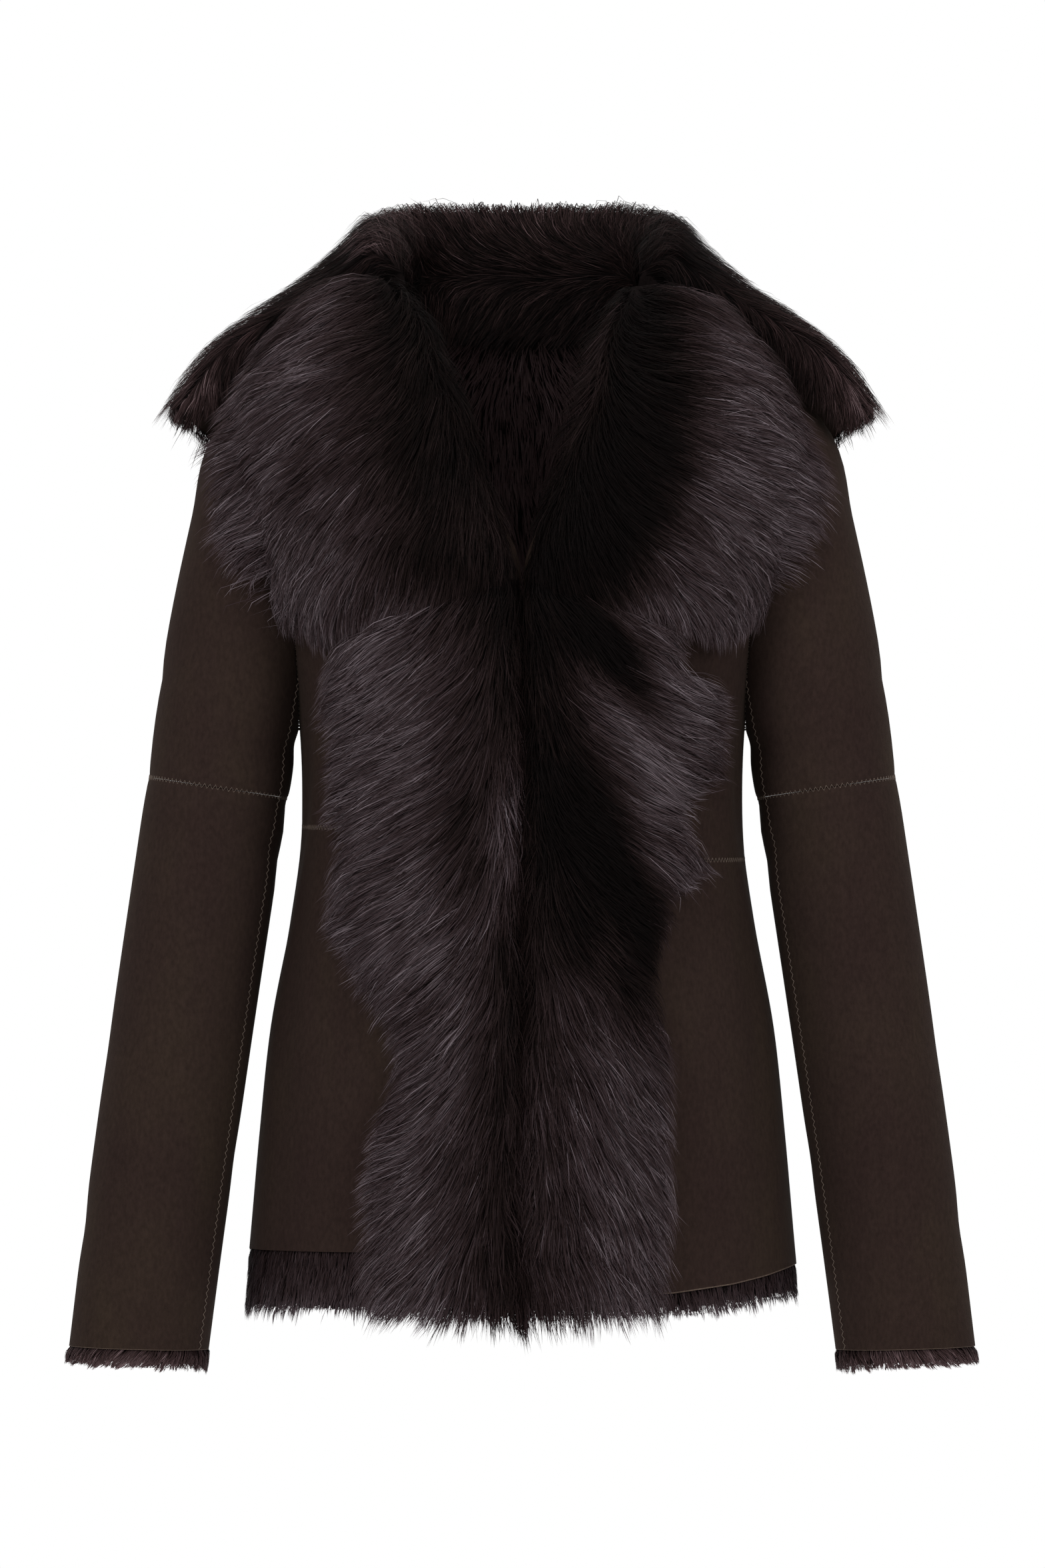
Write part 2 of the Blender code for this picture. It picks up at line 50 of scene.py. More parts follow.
SUEDE_WALL = 1.6       # hide
BODY_WALL = 5.0        # hide and the short wool inside it
SLEEVE_WALL = 4.0
SEAM = 0.3             # gap between neighbours
LIE = 0.8              # gap under a turned-back piece
WAIST_SEAM = {"right": -311.0, "left": -331.5}
FRONT_TOP = -2.0

BODY_COLUMNS = ("z", "half_width", "front", "back", "squareness")
BODY = (
    (-640, 178, 120, 114, 2.3),
    (-571, 171.6, 118, 112, 2.3),
    (-504, 165.7, 116, 111, 2.3),
    (-437, 158.6, 112, 107, 2.3),
    (-370, 146.4, 107, 100, 2.3),
    (-320, 139.6, 103, 95, 2.3),
    (-285, 138.8, 102, 94, 2.3),
    (-241, 141, 103, 97, 2.3),
    (-180, 150, 105, 103, 2.35),
    (-120, 162, 104, 106, 2.4),
    (-75, 174, 99, 104, 2.4),
    (-50, 174, 91, 97, 2.4),
    (-32, 153, 83, 89, 2.3),
    (-16, 118, 75, 79, 2.2),
    (0, 80, 66, 68, 2.1),
)
# Heights, and how far each front's inner edge is from the middle there.
NECKLINE = ((-640, 1), (-150, 1), (-139, 3), (-100, 22), (-60, 44), (-30, 58), (-10, 67),
            (FRONT_TOP, 70))
# Places from the middle, and the height of the left front's lower edge there.
LEFT_HEM = ((0, -605), (94, -601.5), (131, -596.5), (152, -592), (175, -585))
RIGHT_HEM_Z = -576.0
BACK_HEM_Z = {"right": -577.0, "left": -585.0}
# Places across, from the right side round the front, and how low the hem wool's tips hang.
HEM_TIPS = ((-175, -614), (110, -616), (140, -611), (175, -605))

ARM_COLUMNS = ("x", "y", "z", "half_width", "half_depth", "slant")
ARM = (
    (88, 4, -60, 34, 44, 1),
    (121, 4, -66, 42, 50, 1),
    (150, 4, -84, 49, 54, 1),
    (163, 3, -126, 46.5, 55.5, 1),
    (178.5, 0, -200, 46.2, 53.5, 1),
    (191.5, -4, -286, 45, 51.5, 1),
    (211.5, -12, -420, 44.6, 50, 1),
    (228.5, -18, -540, 44.3, 48.5, 1),
    (241, -22, -638, 44.3, 47, 0.2),
    (242.7, -23, -650.5, 44.8, 47.5, 0.4),
)
ELBOW = 5
CUFF = 8

COLLAR_COLUMNS = ("neck_x", "neck_y", "neck_z", "fold_x", "fold_y", "fold_z",
                  "edge_x", "edge_y", "edge_z")
COLLAR = (
    (0, 67, 0.5, 0, 86, 65, 0, 126, -88),
    (45, 56, 0.5, 60, 74, 65, 104, 118, -90),
    (69, 32, 0.5, 86, 44, 60, 172, 82, -82),
    (78, 2, 0.5, 94, 6, 54, 208, 30, -56),
    (77, -20, 0.5, 94, -22, 45, 217, -4, -52),
    (74, -34, 0.5, 92, -40, 34, 208, -20, -52),
)
COLLAR_WOOL = (13.0, 14.0, 15.0, 16.0, 15.0, 15.0, 18.0, 20.0, 10.0)
COLLAR_UNDER = (0.55, 0.62, 0.80, 0.86, 0.72, 0.70, 0.80, 0.84, 0.80)    # as UNDER_SHARE
FOLD_REACH = 7.0       # the fold is this wide to each side
FOLD_DROP = 5.0        # and its sides lie this much lower
FALL_BULGE = 4.0

LEAF_COLUMNS = ("roll_x", "roll_z", "edge_x", "edge_z", "wool")
LAPEL_RIGHT = (
    (88, 33, 114, 29, 14),
    (73, 18, 142, 6, 26),
    (59, -3, 168, -24, 32),
    (46, -32, 189, -57, 34),
    (34, -60, 197, -90, 35),
    (25, -87, 194, -123, 35),
    (17, -112, 179, -154, 34),
    (10, -132, 157, -178, 32),
    (5, -147, 128, -192, 26),
)
LAPEL_LEFT = (
    (66, 26, 112, 24, 14),
    (58, 10, 136, 0, 26),
    (49, -10, 158, -28, 32),
    (43, -34, 176, -57, 34),
    (37, -60, 187, -90, 35),
    (27, -87, 184, -121, 35),
    (17, -112, 171, -148, 34),
    (9, -132, 153, -174, 32),
    (4, -147, 130, -190, 26),
)
CASCADE_RIGHT = (
    (2, -149.5, 112, -192, 28),
    (1, -200, 124, -218, 34),
    (1, -270, 122, -285, 34),
    (1, -335, 124, -345, 34),
    (1, -385, 107, -393, 33),
    (1, -430, 77, -438, 31),
    (1, -465, 78, -472, 29),
    (1, -515, 92, -518, 29),
    (1, -570, 97, -572, 27),
    (1, -623, 99, -618, 18),
)
CASCADE_LEFT = (
    (2, -149.5, 112, -192, 28),
    (1, -200, 121, -218, 34),
    (1, -260, 122, -270, 34),
    (1, -310, 122, -320, 34),
    (1, -352, 115, -360, 33),
    (1, -395, 93, -402, 32),
    (1, -430, 92, -436, 30),
    (1, -500, 97, -504, 29),
    (1, -565, 96, -567, 27),
    (1, -623, 94, -616, 18),
)
# Shares of the way across a turned-back piece, and of its wool's depth that it has there.
LEAF_PROFILE = ((0.0, 0.30), (0.05, 0.72), (0.18, 0.98), (0.40, 1.00), (0.65, 0.80), (0.88, 0.52),
                (1.0, 0.20))
DRAPE_BLEND = 7.0      # a higher one lets a piece follow torso and sleeve more closely
TOP_OF_DRAPE = -60.0   # above this the lapels leave the torso's slope
LAPEL_TOP_BACK = 0.45  # and go back by this much for each millimetre up
SLEEVE_CLEAR = 1.5     # gap between a sleeve and the wool piece over it
STEEPEST = 2.5         # slope that wool still stands square to

# ---- looks

STITCH_PITCH = 1.7     # along the seam, from one zigzag point to the next
STITCH_REACH = 1.5     # to each side of the seam
THREAD = 0.28          # half of the thread's thickness
SEAM_DIP = 0.7         # the suede dips this much where it is sewn
SEAM_SOFT = 2.2        # and comes back up over this distance
PANEL_STEP = 8.0       # size of a suede shell's faces
FRONT_WIDTH = 210.0    # round a front, and round the back
BACK_WIDTH = 400.0
SLEEVE_SIDES = 64
INSEAM_ANGLE = math.radians(209.0)
FUR_SEED = 20
ROOT_DEPTH = 1.0       # hair starts this far inside the underwool
HAIR_WIDTH = 0.40
SHORT_HAIR = 1.6       # the tufts at the cuffs and the collar's edge are this much wider,
HEM_HAIR = 1.25        # and the hem's this much
UNDER_SHARE = 0.55     # the dense underwool fills this much of the wool's depth
SHOWN_AT = 0.6         # how far along a hair the middle of its seen part lies
RISE = 1.6             # a hair is up at its full height after 1 / RISE of its length
SINK = 0.12            # and past SHOWN_AT it sinks at this rate
TIP_DROP = 0.03        # about how much farther down its panel a tip lies than its root
LOCKS = ((2.4, 0.40), (11.0, 0.16))    # how far apart small and big locks are, and their pull
TURN_FIELD = 45.0      # the hairs' turn, height and tone drift over these distances
HEIGHT_FIELD = 30.0
TONE_FIELD = 22.0
# Painted glints: this share of the hairs is much lighter than the rest, standing in for highlights.
PAINTED_GLINT_SHARE = 0.12     # of the hairs are much lighter than the rest
FREE = 9.0             # a limit this many patches out holds no hair back

OUTER_FACE, INNER_FACE, EDGE_FACE = 0, 1, 2    # which of its materials a shell's face wears
UP = np.array((0.0, 0.0, 1.0))
FORWARD = np.array((0.0, -1.0, 0.0))
LEVEL = np.array((1.0, 1.0, 0.0))

# The hair's tones, painted from black-brown shade in hollows over red-brown to lilac-grey
# painted sheen: the place from 0 to 1, red, green and blue, then green and blue for the
# collar and the cuffs, which stay red-brown in the light.
TONES = (
    (0, 0.0016, 0.0010, 0.0009, 0.0010, 0.0009),
    (0.15, 0.0058, 0.0034, 0.0030, 0.0034, 0.0030),
    (0.35, 0.0150, 0.0093, 0.0091, 0.0087, 0.0082),
    (0.5, 0.0240, 0.0161, 0.0169, 0.0142, 0.0138),
    (0.65, 0.0370, 0.0268, 0.0286, 0.0230, 0.0230),
    (0.8, 0.0560, 0.0440, 0.0474, 0.0365, 0.0372),
    (1, 0.1150, 0.0960, 0.1030, 0.0820, 0.0830),
)

# Soft troughs in the suede. A row has its middle, half of its length, half of its width,
# its depth and how far it leans from upright. The middle is a turn and a height.
BODY_CREASES = (
    (-0.62, -420, 110, 13, 2.2, 6),
    (-0.56, -300, 70, 9, 1.6, -14),
    (0.63, -430, 120, 12, 2, -7),
    (0.57, -290, 60, 9, 1.7, 12),
    (0.12, -330, 120, 15, 2.6, 3),
    (-0.14, -350, 140, 13, 2.3, -5),
    (0.31, -300, 80, 11, 2, 18),
    (-0.33, -290, 70, 12, 2.1, -22),
    (0.27, -500, 90, 18, 2.4, 2),
    (-0.02, -520, 80, 20, 2.2, 4),
    (-0.29, -480, 100, 16, 2, -3),
    (0.4, -170, 50, 10, 1.8, 34),
    (-0.41, -165, 45, 11, 1.9, -30),
)
# The same on a sleeve: the middle as angle round it and place along it, the half sizes in
# both, the depth and the lean.
ARM_CREASES = (
    (200, 4.7, 60, 0.1, 2, 0.1),
    (215, 5.25, 50, 0.08, 1.8, -0.12),
    (170, 5.05, 45, 0.07, 1.5, 0.05),
    (330, 4.2, 55, 0.14, 1.5, 0.25),
    (60, 4.9, 60, 0.12, 1.8, -0.1),
    (300, 6.1, 45, 0.16, 1.3, 0.2),
    (120, 6.6, 60, 0.15, 1.4, 0.15),
    (20, 7.2, 50, 0.14, 1.2, -0.1),
)


def named_columns(names, rows):
    """Turn a table into one array for each of its named columns."""
    values = np.array(rows, dtype=float)
    return {name: values[:, index] for index, name in enumerate(names)}


def smooth(xs, ys, x):
    """Values at x on the smooth curve through the points (xs, ys)."""
    slopes = np.gradient(ys, xs)
    x = np.clip(x, xs[0], xs[-1])
    left = np.clip(np.searchsorted(xs, x) - 1, 0, len(xs) - 2)
    width = xs[left + 1] - xs[left]
    t = (x - xs[left]) / width
    rise = (2.0 * t - 3.0) * t * t
    return ((rise + 1.0) * ys[left] - rise * ys[left + 1]
            + (t - 1.0) * t * (t - 1.0) * width * slopes[left]
            + (t - 1.0) * t * t * width * slopes[left + 1])


def between(low, high, share):
    """Value at a share of the way from low to high."""
    return low + (high - low) * share


def read_off(table, x):
    """Value of a table of two columns at x."""
    return np.interp(x, *np.array(table, dtype=float).T)


def along_rows(at, place):
    """Every named column at a place along its rows, counted from the first."""
    return {name: smooth(np.arange(len(column), dtype=float), column, place)
            for name, column in at.items()}


def unit(vectors):
    """The same vectors with length 1."""
    return vectors / np.maximum(np.linalg.norm(vectors, axis=-1, keepdims=True), 1e-9)


def mirrored(side):
    """Factors that put a point of the wearer's left side on this side."""
    return np.array((1.0 if side == "left" else -1.0, 1.0, 1.0))


def grid(rows, columns, across=(0.0, 1.0), down=(0.0, 1.0)):
    """Shares across and down for each point of a grid."""
    return np.meshgrid(np.linspace(*across, columns), np.linspace(*down, rows))


BODY_AT = named_columns(BODY_COLUMNS, BODY)
ARM_AT = named_columns(ARM_COLUMNS, ARM)
ARM_FALL = -np.gradient(ARM_AT["z"])    # millimetres down for each row of ARM
SLEEVE_ANGLES = np.linspace(0.0, 2.0 * np.pi, SLEEVE_SIDES + 1)[:-1]
COLLAR_AT = named_columns(COLLAR_COLUMNS, COLLAR)


# ---- surfaces

def body_size(z):
    """Half width, front, back and squareness of the torso at heights z."""
    return [smooth(BODY_AT["z"], BODY_AT[name], z) for name in BODY_COLUMNS[1:]]


def signed_power(value, power):
    """The power of a value's size, with its sign."""
    return np.sign(value) * np.abs(value) ** power


def body_points(turn, z, inset=0.0):
    """Points on the torso. turn is 0 at the middle of the back and 1 or -1 in front."""
    half_width, front, back, squareness = body_size(z)
    sine = np.sin(turn * np.pi)
    cosine = np.cos(turn * np.pi)
    power = 2.0 / squareness
    depth = np.where(cosine > 0.0, back, front)
    x = signed_power(sine, power) * (half_width - inset)
    y = signed_power(cosine, power) * (depth - inset)
    return np.stack((x, y, z + 0.0 * x), axis=-1)


def front_edge_turn(z):
    """Turn at which a front has its inner edge at heights z."""
    half_width, _, _, squareness = body_size(z)
    edge = read_off(NECKLINE, z)
    return 1.0 - np.arcsin(np.minimum((edge / half_width) ** (squareness / 2.0), 1.0)) / np.pi


def hem_z(side, turn):
    """Height of the suede's lower edge."""
    if side == "back":
        return between(BACK_HEM_Z["right"], BACK_HEM_Z["left"], turn + 0.5)
    if side == "right":
        return RIGHT_HEM_Z + 0.0 * turn
    x = np.abs(body_points(turn, np.full_like(turn, BACK_HEM_Z["left"]))[..., 0])
    return read_off(LEFT_HEM, x)


def body_relief(turn, z):
    """Depth of the body's creases."""
    depth = 0.0
    for middle, height, half_length, half_width, deep, lean in BODY_CREASES:
        across = (turn - middle) * BACK_WIDTH
        up = z - height
        slant = math.radians(lean)
        along = up * math.cos(slant) + across * math.sin(slant)
        side = across * math.cos(slant) - up * math.sin(slant)
        depth += deep * np.exp(-(side / half_width) ** 2 - (along / half_length) ** 2)
    return depth


def arm_sizes(place):
    """Middle line, sizes and the outward direction across the sleeve at places along it."""
    at, ahead, behind = (along_rows(ARM_AT, place + step) for step in (0.0, 0.05, -0.05))
    along_x = ahead["x"] - behind["x"]
    along_z = ahead["z"] - behind["z"]
    length = np.hypot(along_x, along_z)
    return at, -along_z / length, along_x / length


def arm_points(place, angle, inset=0.0):
    """Points on the left sleeve; the angle is in radians, 0 on its outer side."""
    at, across_x, across_z = arm_sizes(place)
    reach = (at["half_width"] - inset) * np.cos(angle)
    y = at["y"] + (at["half_depth"] - inset) * np.sin(angle)
    z = at["z"] + across_z * reach * at["slant"]
    return np.stack((at["x"] + across_x * reach, y, z), axis=-1)


def arm_relief(place, angle):
    """Depth of a sleeve's creases."""
    depth = 0.0
    degrees = np.degrees(angle) % 360.0
    for middle, where, half_angle, half_length, deep, lean in ARM_CREASES:
        off = (degrees - middle + 180.0) % 360.0 - 180.0
        up = place - where - lean * off / 60.0
        depth += deep * np.exp(-(off / half_angle) ** 2 - (up / half_length) ** 2)
    return depth


def inside_torso(points):
    """Whether each point is inside the torso."""
    x, y, z = np.moveaxis(points, -1, 0)
    half_width, front, back, squareness = body_size(z)
    depth = np.where(y > 0.0, back, front)
    reach = (np.abs(x) / half_width) ** squareness + (np.abs(y) / depth) ** squareness
    return (reach < 1.0) & (z < 0.0)


def torso_depth(x, z):
    """How far forward the torso comes."""
    half_width, front, _, squareness = body_size(z)
    share = np.minimum(np.abs(x) / half_width, 1.0)
    return front * (1.0 - share ** squareness) ** (1.0 / squareness)


def sleeve_depth(x, z):
    """How far forward the sleeve comes, with a little room before it."""
    heights = ARM_AT["z"][::-1]
    at = {name: np.interp(z, heights, ARM_AT[name][::-1]) for name in ARM_COLUMNS}
    lean = np.interp(z, heights, np.gradient(ARM_AT["x"], ARM_AT["z"])[::-1])
    share = np.minimum(np.abs(np.abs(x) - at["x"]) / (at["half_width"] * np.hypot(1.0, lean)), 1.0)
    half_depth = at["half_depth"] + SLEEVE_CLEAR
    return np.maximum(half_depth * np.sqrt(1.0 - share * share) - at["y"], 0.0)


def drape_depth(x, z):
    """How far forward a piece lies that rests on the torso and the sleeve."""
    level = np.minimum(z, TOP_OF_DRAPE)
    leaning = torso_depth(x, level) - LAPEL_TOP_BACK * (z - level)
    torso = np.maximum(np.maximum(leaning, torso_depth(x, np.minimum(z, 0.0))), 0.0)
    sleeve = sleeve_depth(x, np.minimum(z, ARM[2][2])) - LAPEL_TOP_BACK * (z - level)
    sleeve = np.maximum(sleeve, 0.0)
    return (torso ** DRAPE_BLEND + sleeve ** DRAPE_BLEND) ** (1.0 / DRAPE_BLEND)


def drape_points(x, z, away):
    """Points over the draped surface, moved away along its normal."""
    step = 2.0
    slope_x = (drape_depth(x + step, z) - drape_depth(x - step, z)) / (2.0 * step)
    slope_z = (drape_depth(x, z + step) - drape_depth(x, z - step)) / (2.0 * step)
    slope_x = np.clip(slope_x, -STEEPEST, STEEPEST)
    normal = unit(np.stack((-slope_x, -np.ones_like(x), -slope_z), axis=-1))
    return np.stack((x, -drape_depth(x, z), z), axis=-1) + normal * away[..., None]


def wool_profile(across):
    """Share of a turned-back piece's wool depth that it has at places across it."""
    return smooth(*np.array(LEAF_PROFILE).T, across)


def leaf_points(table, mirror, across, down, share):
    """Grid of points on a turned-back piece. share is how much of the wool's depth lies
    below them."""
    here = along_rows(named_columns(LEAF_COLUMNS, table), down * (len(table) - 1))
    x = between(here["roll_x"], here["edge_x"], across)
    z = between(here["roll_z"], here["edge_z"], across)
    return drape_points(x, z, LIE + here["wool"] * wool_profile(across) * share) * mirror


def collar_points(places, share):
    """Points on the collar, one row for each place from the right front end (-1) round
    the back (0) to the left front end (1). share is how much of the wool lies below."""
    made = []
    for place in places:
        mirror = mirrored("right" if place < 0.0 else "left")
        at = along_rows(COLLAR_AT, abs(place) * (len(COLLAR) - 1))
        neck, fold, edge = (np.array([at[part + axis] for axis in ("_x", "_y", "_z")]) * mirror
                            for part in ("neck", "fold", "edge"))
        out = edge - fold
        out[2] = 0.0
        out = unit(out)
        inner_fold = fold - out * FOLD_REACH - UP * FOLD_DROP
        outer_fold = fold + out * FOLD_REACH - UP * FOLD_DROP
        line = [neck, between(neck, inner_fold, 0.5), inner_fold, fold, outer_fold]
        for part in (0.25, 0.5, 0.75, 1.0):
            point = between(outer_fold, edge, part)
            line.append(point + UP * FALL_BULGE * math.sin(math.pi * part))
        line = np.array(line)
        along = np.gradient(line, axis=0)
        flat = along @ out
        away = unit(np.outer(flat, UP) - np.outer(along[:, 2], out))
        made.append(line + away * (np.array(COLLAR_WOOL) * share)[:, None])
    return np.array(made)


def refined(points, rows, columns):
    """The same surface with this many rows and columns of points, rounded between them."""
    for axis, count in ((0, rows), (1, columns)):
        old = np.arange(points.shape[axis], dtype=float)
        new = np.linspace(0.0, old[-1], count)
        moved = np.moveaxis(points, axis, 0)
        flat = moved.reshape(len(old), -1)
        made = np.stack([smooth(old, flat[:, k], new) for k in range(flat.shape[1])], axis=-1)
        points = np.moveaxis(made.reshape((count,) + moved.shape[1:]), 0, axis)
    return points


# ---- meshes

def link(name, data):
    """A new object in the scene."""
    made = bpy.data.objects.new(name, data)
    bpy.context.scene.collection.objects.link(made)
    return made


def new_mesh(name, points, faces, materials):
    """A mesh from points in millimetres."""
    mesh = bpy.data.meshes.new(name)
    mesh.from_pydata((points.reshape(-1, 3) * MM).tolist(), [], faces)
    for material in materials:
        mesh.materials.append(material)
    return mesh


def add_piece(name, points, faces, materials, face_materials=None):
    """A mesh object, riding on the coat's one body."""
    mesh = new_mesh(name, points, faces, materials)
    if face_materials is not None:
        mesh.polygons.foreach_set("material_index", face_materials.astype(np.int32))
    mesh.shade_smooth()
    mesh.update()
    piece = link(name, mesh)
    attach(piece, ROOT)
    return piece


def closed_ring(columns):
    """A ring's grid with its first column once more at the end."""
    return np.concatenate((columns, columns[:, :1]), axis=1)


def tube_faces(rings, sides):
    """Faces of a tube made of rings of points, closed at both ends."""
    here = closed_ring(np.arange(rings * sides).reshape(rings, sides))
    faces = np.stack((here[:-1, :-1], here[:-1, 1:], here[1:, 1:], here[1:, :-1]), axis=-1)
    ends = [here[0, -2::-1].tolist(), here[-1, :-1].tolist()]
    return faces.reshape(-1, 4).tolist() + ends


def shell(name, solid, slot, outer, inner, materials, ring=False, first_edge=EDGE_FACE,
          rim_row=None):
    """Closed wall between two grids, in place of a solid. Its faces wear the outer, inner
    and edge materials, and those at the first column the one numbered first_edge. An outer
    row that is a rim wears the edge material too."""
    low = np.arange(outer[..., 0].size).reshape(outer.shape[:2])
    high = low + low.size
    if ring:
        low, high = closed_ring(low), closed_ring(high)
    outer_faces = np.full((len(low) - 1, low.shape[1] - 1), OUTER_FACE)
    if rim_row is not None:
        outer_faces[rim_row] = EDGE_FACE
    sides = [
        (low[:-1, :-1], low[:-1, 1:], low[1:, 1:], low[1:, :-1], outer_faces),
        (high[:-1, :-1], high[1:, :-1], high[1:, 1:], high[:-1, 1:], INNER_FACE),
        (low[0, 1:], low[0, :-1], high[0, :-1], high[0, 1:], EDGE_FACE),
        (low[-1, :-1], low[-1, 1:], high[-1, 1:], high[-1, :-1], EDGE_FACE),
    ]
    if not ring:
        sides.append((low[:-1, 0], low[1:, 0], high[1:, 0], high[:-1, 0], first_edge))
        sides.append((low[1:, -1], low[:-1, -1], high[:-1, -1], high[1:, -1], EDGE_FACE))
    faces = np.concatenate([np.stack(corners, axis=-1).reshape(-1, 4) for *corners, _ in sides])
    worn = np.concatenate([(0 * corner + kind).ravel() for corner, *_, kind in sides])
    points = np.stack((outer, inner)).reshape(-1, 3)
    a, b, c, d = (points[faces[:, k]] for k in range(4))
    if (np.cross(a, b) * c + np.cross(a, c) * d).sum() < 0.0:
        faces = faces[:, ::-1]
    piece = add_piece(name, points, faces.tolist(), materials, worn)
    piece.data.set_sharp_from_angle(angle=math.radians(50.0))
    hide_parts(solid)
    return piece


def edge_spaced(length):
    """Shares of a length, evenly spaced but for a few close ones at both ends."""
    close = np.array((0.0, 0.7, 1.6, 3.0)) / length
    even = np.linspace(5.0 / length, 1.0 - 5.0 / length, max(int(length / PANEL_STEP), 2))
    return np.concatenate((close, even, (1.0 - close)[::-1]))


def seam_dip(shares, length, low=True, high=True):
    """How much the suede dips towards the ends of a length."""
    return SEAM_DIP * (low * np.exp(-shares * length / SEAM_SOFT)
                       + high * np.exp(-(1.0 - shares) * length / SEAM_SOFT))


# ---- materials

def new_material(name, roughness, specular=0.5):
    """A material, its nodes and its shader."""
    material = bpy.data.materials.new(name)
    material.use_nodes = True
    tree = material.node_tree
    shader = tree.nodes["Principled BSDF"]
    shader.inputs["Roughness"].default_value = roughness
    shader.inputs["Specular IOR Level"].default_value = specular
    return material, tree, shader


def new_node(tree, kind, **inputs):
    """A shader node with these values at its inputs."""
    node = tree.nodes.new("ShaderNode" + kind)
    for name, value in inputs.items():
        node.inputs[name].default_value = value
    return node


def noise(tree, scale, detail=3.0, roughness=0.5, stretch=(1.0, 1.0, 1.0)):
    """A noise in the coat's own space, in features for each metre."""
    texture = new_node(tree, "TexNoise", Scale=scale, Detail=detail, Roughness=roughness)
    mapping = new_node(tree, "Mapping", Scale=stretch)
    coordinates = new_node(tree, "TexCoord")
    tree.links.new(coordinates.outputs["Object"], mapping.inputs["Vector"])
    tree.links.new(mapping.outputs["Vector"], texture.inputs["Vector"])
    return texture.outputs["Fac"]


def ramp(tree, source, stops):
    """Colours along a value, from (place, colour) stops."""
    node = new_node(tree, "ValToRGB")
    elements = node.color_ramp.elements
    elements.remove(elements[0])
    elements[0].position = stops[0][0]
    elements[0].color = (*stops[0][1], 1.0)
    for place, colour in stops[1:]:
        elements.new(place).color = (*colour, 1.0)
    tree.links.new(source, node.inputs["Fac"])
    return node.outputs["Color"]


def multiply(tree, first, second):
    """Two colours multiplied."""
    node = new_node(tree, "Mix")
    node.data_type = "RGBA"
    node.blend_type = "MULTIPLY"
    node.inputs["Factor"].default_value = 1.0
    tree.links.new(first, node.inputs["A"])
    tree.links.new(second, node.inputs["B"])
    return node.outputs["Result"]


def bump(tree, shader, height, strength, distance):
    """Fine relief on a shader."""
    node = new_node(tree, "Bump", Strength=strength, Distance=distance)
    tree.links.new(height, node.inputs["Height"])
    tree.links.new(node.outputs["Normal"], shader.inputs["Normal"])


def suede_material():
    """Dark brown suede: brushed patches, fine nap and a soft sheen at grazing angles."""
    material, tree, shader = new_material("suede", 0.95, 0.03)
    base = ramp(tree, noise(tree, 16.0, 4.0, 0.6, (1.0, 1.0, 0.45)),
                ((0.30, (0.0140, 0.0082, 0.0070)), (0.50, (0.0156, 0.0096, 0.0077)),
                 (0.70, (0.0178, 0.0116, 0.0083))))
    nap = ramp(tree, noise(tree, 420.0, 3.0, 0.65, (1.0, 1.0, 0.55)),
               ((0.30, (0.78, 0.78, 0.78)), (0.70, (1.15, 1.15, 1.15))))
    tree.links.new(multiply(tree, base, nap), shader.inputs["Base Color"])
    shader.inputs["Sheen Weight"].default_value = 0.015
    shader.inputs["Sheen Roughness"].default_value = 0.45
    shader.inputs["Sheen Tint"].default_value = (0.80, 0.66, 0.50, 1.0)
    bump(tree, shader, noise(tree, 1500.0, 2.0, 0.6), 0.35, 0.0004)
    return material


def grained_material(name, look, grain, dark, light, relief):
    """A material whose colour and relief follow one noise. look is its roughness and
    specular level, dark and light its (place, colour) stops."""
    material, tree, shader = new_material(name, *look)
    height = noise(tree, *grain)
    tree.links.new(ramp(tree, height, (dark, light)), shader.inputs["Base Color"])
    bump(tree, shader, height, *relief)
    return material


def hair_material(name, tones):
    """Long hairs. Across their map runs each hair's tone, painted light and shade included, and up
    it root to tip, darker at the root as painted shade deep in the wool.
    """
    material, tree, shader = new_material(name, 0.55, 0.02)
    place = new_node(tree, "UVMap")
    place.uv_map = "OFBake"
    split = new_node(tree, "SeparateXYZ")
    tree.links.new(place.outputs["UV"], split.inputs["Vector"])
    tone = ramp(tree, split.outputs["X"], tones)
    # Painted shade: darker at the root, deep in the wool, and lighter towards the tip.
    along = ramp(tree, split.outputs["Y"],
                 ((0.0, (0.30, 0.27, 0.26)), (0.4, (0.80, 0.78, 0.78)), (1.0, (1.20, 1.17, 1.18))))
    tree.links.new(multiply(tree, tone, along), shader.inputs["Base Color"])
    return material


SUEDE = suede_material()
# The hide's raw cut edge, a little lighter than its face.
CUT_EDGE = grained_material("suede_edge", (0.9, 0.15), (700.0,), (0.30, (0.030, 0.020, 0.015)),
                            (0.70, (0.060, 0.042, 0.031)), (0.4, 0.0003))
# Dense short wool, almost black: its own dark colour deepened into painted shade between the long
# hairs.
UNDERWOOL = grained_material("underwool", (0.9, 0.03), (260.0, 4.0, 0.6, (1.0, 1.0, 0.35)),
                             (0.25, (0.0012, 0.0008, 0.0007)), (0.75, (0.0050, 0.0032, 0.0031)),
                             (0.8, 0.002))
ALL_WOOL = (UNDERWOOL, UNDERWOOL, UNDERWOOL)
THREAD_BROWN = grained_material("thread", (0.7,), (900.0,), (0.3, (0.045, 0.030, 0.021)),
                                (0.7, (0.085, 0.058, 0.040)), (0.3, 0.0002))
HAIR = hair_material("hair", [(place, rgb) for place, *rgb, _, _ in TONES])
BROWN_HAIR = hair_material("brown_hair", [(place, (red, green, blue))
                                          for place, red, _, _, green, blue in TONES])


# ---- hair

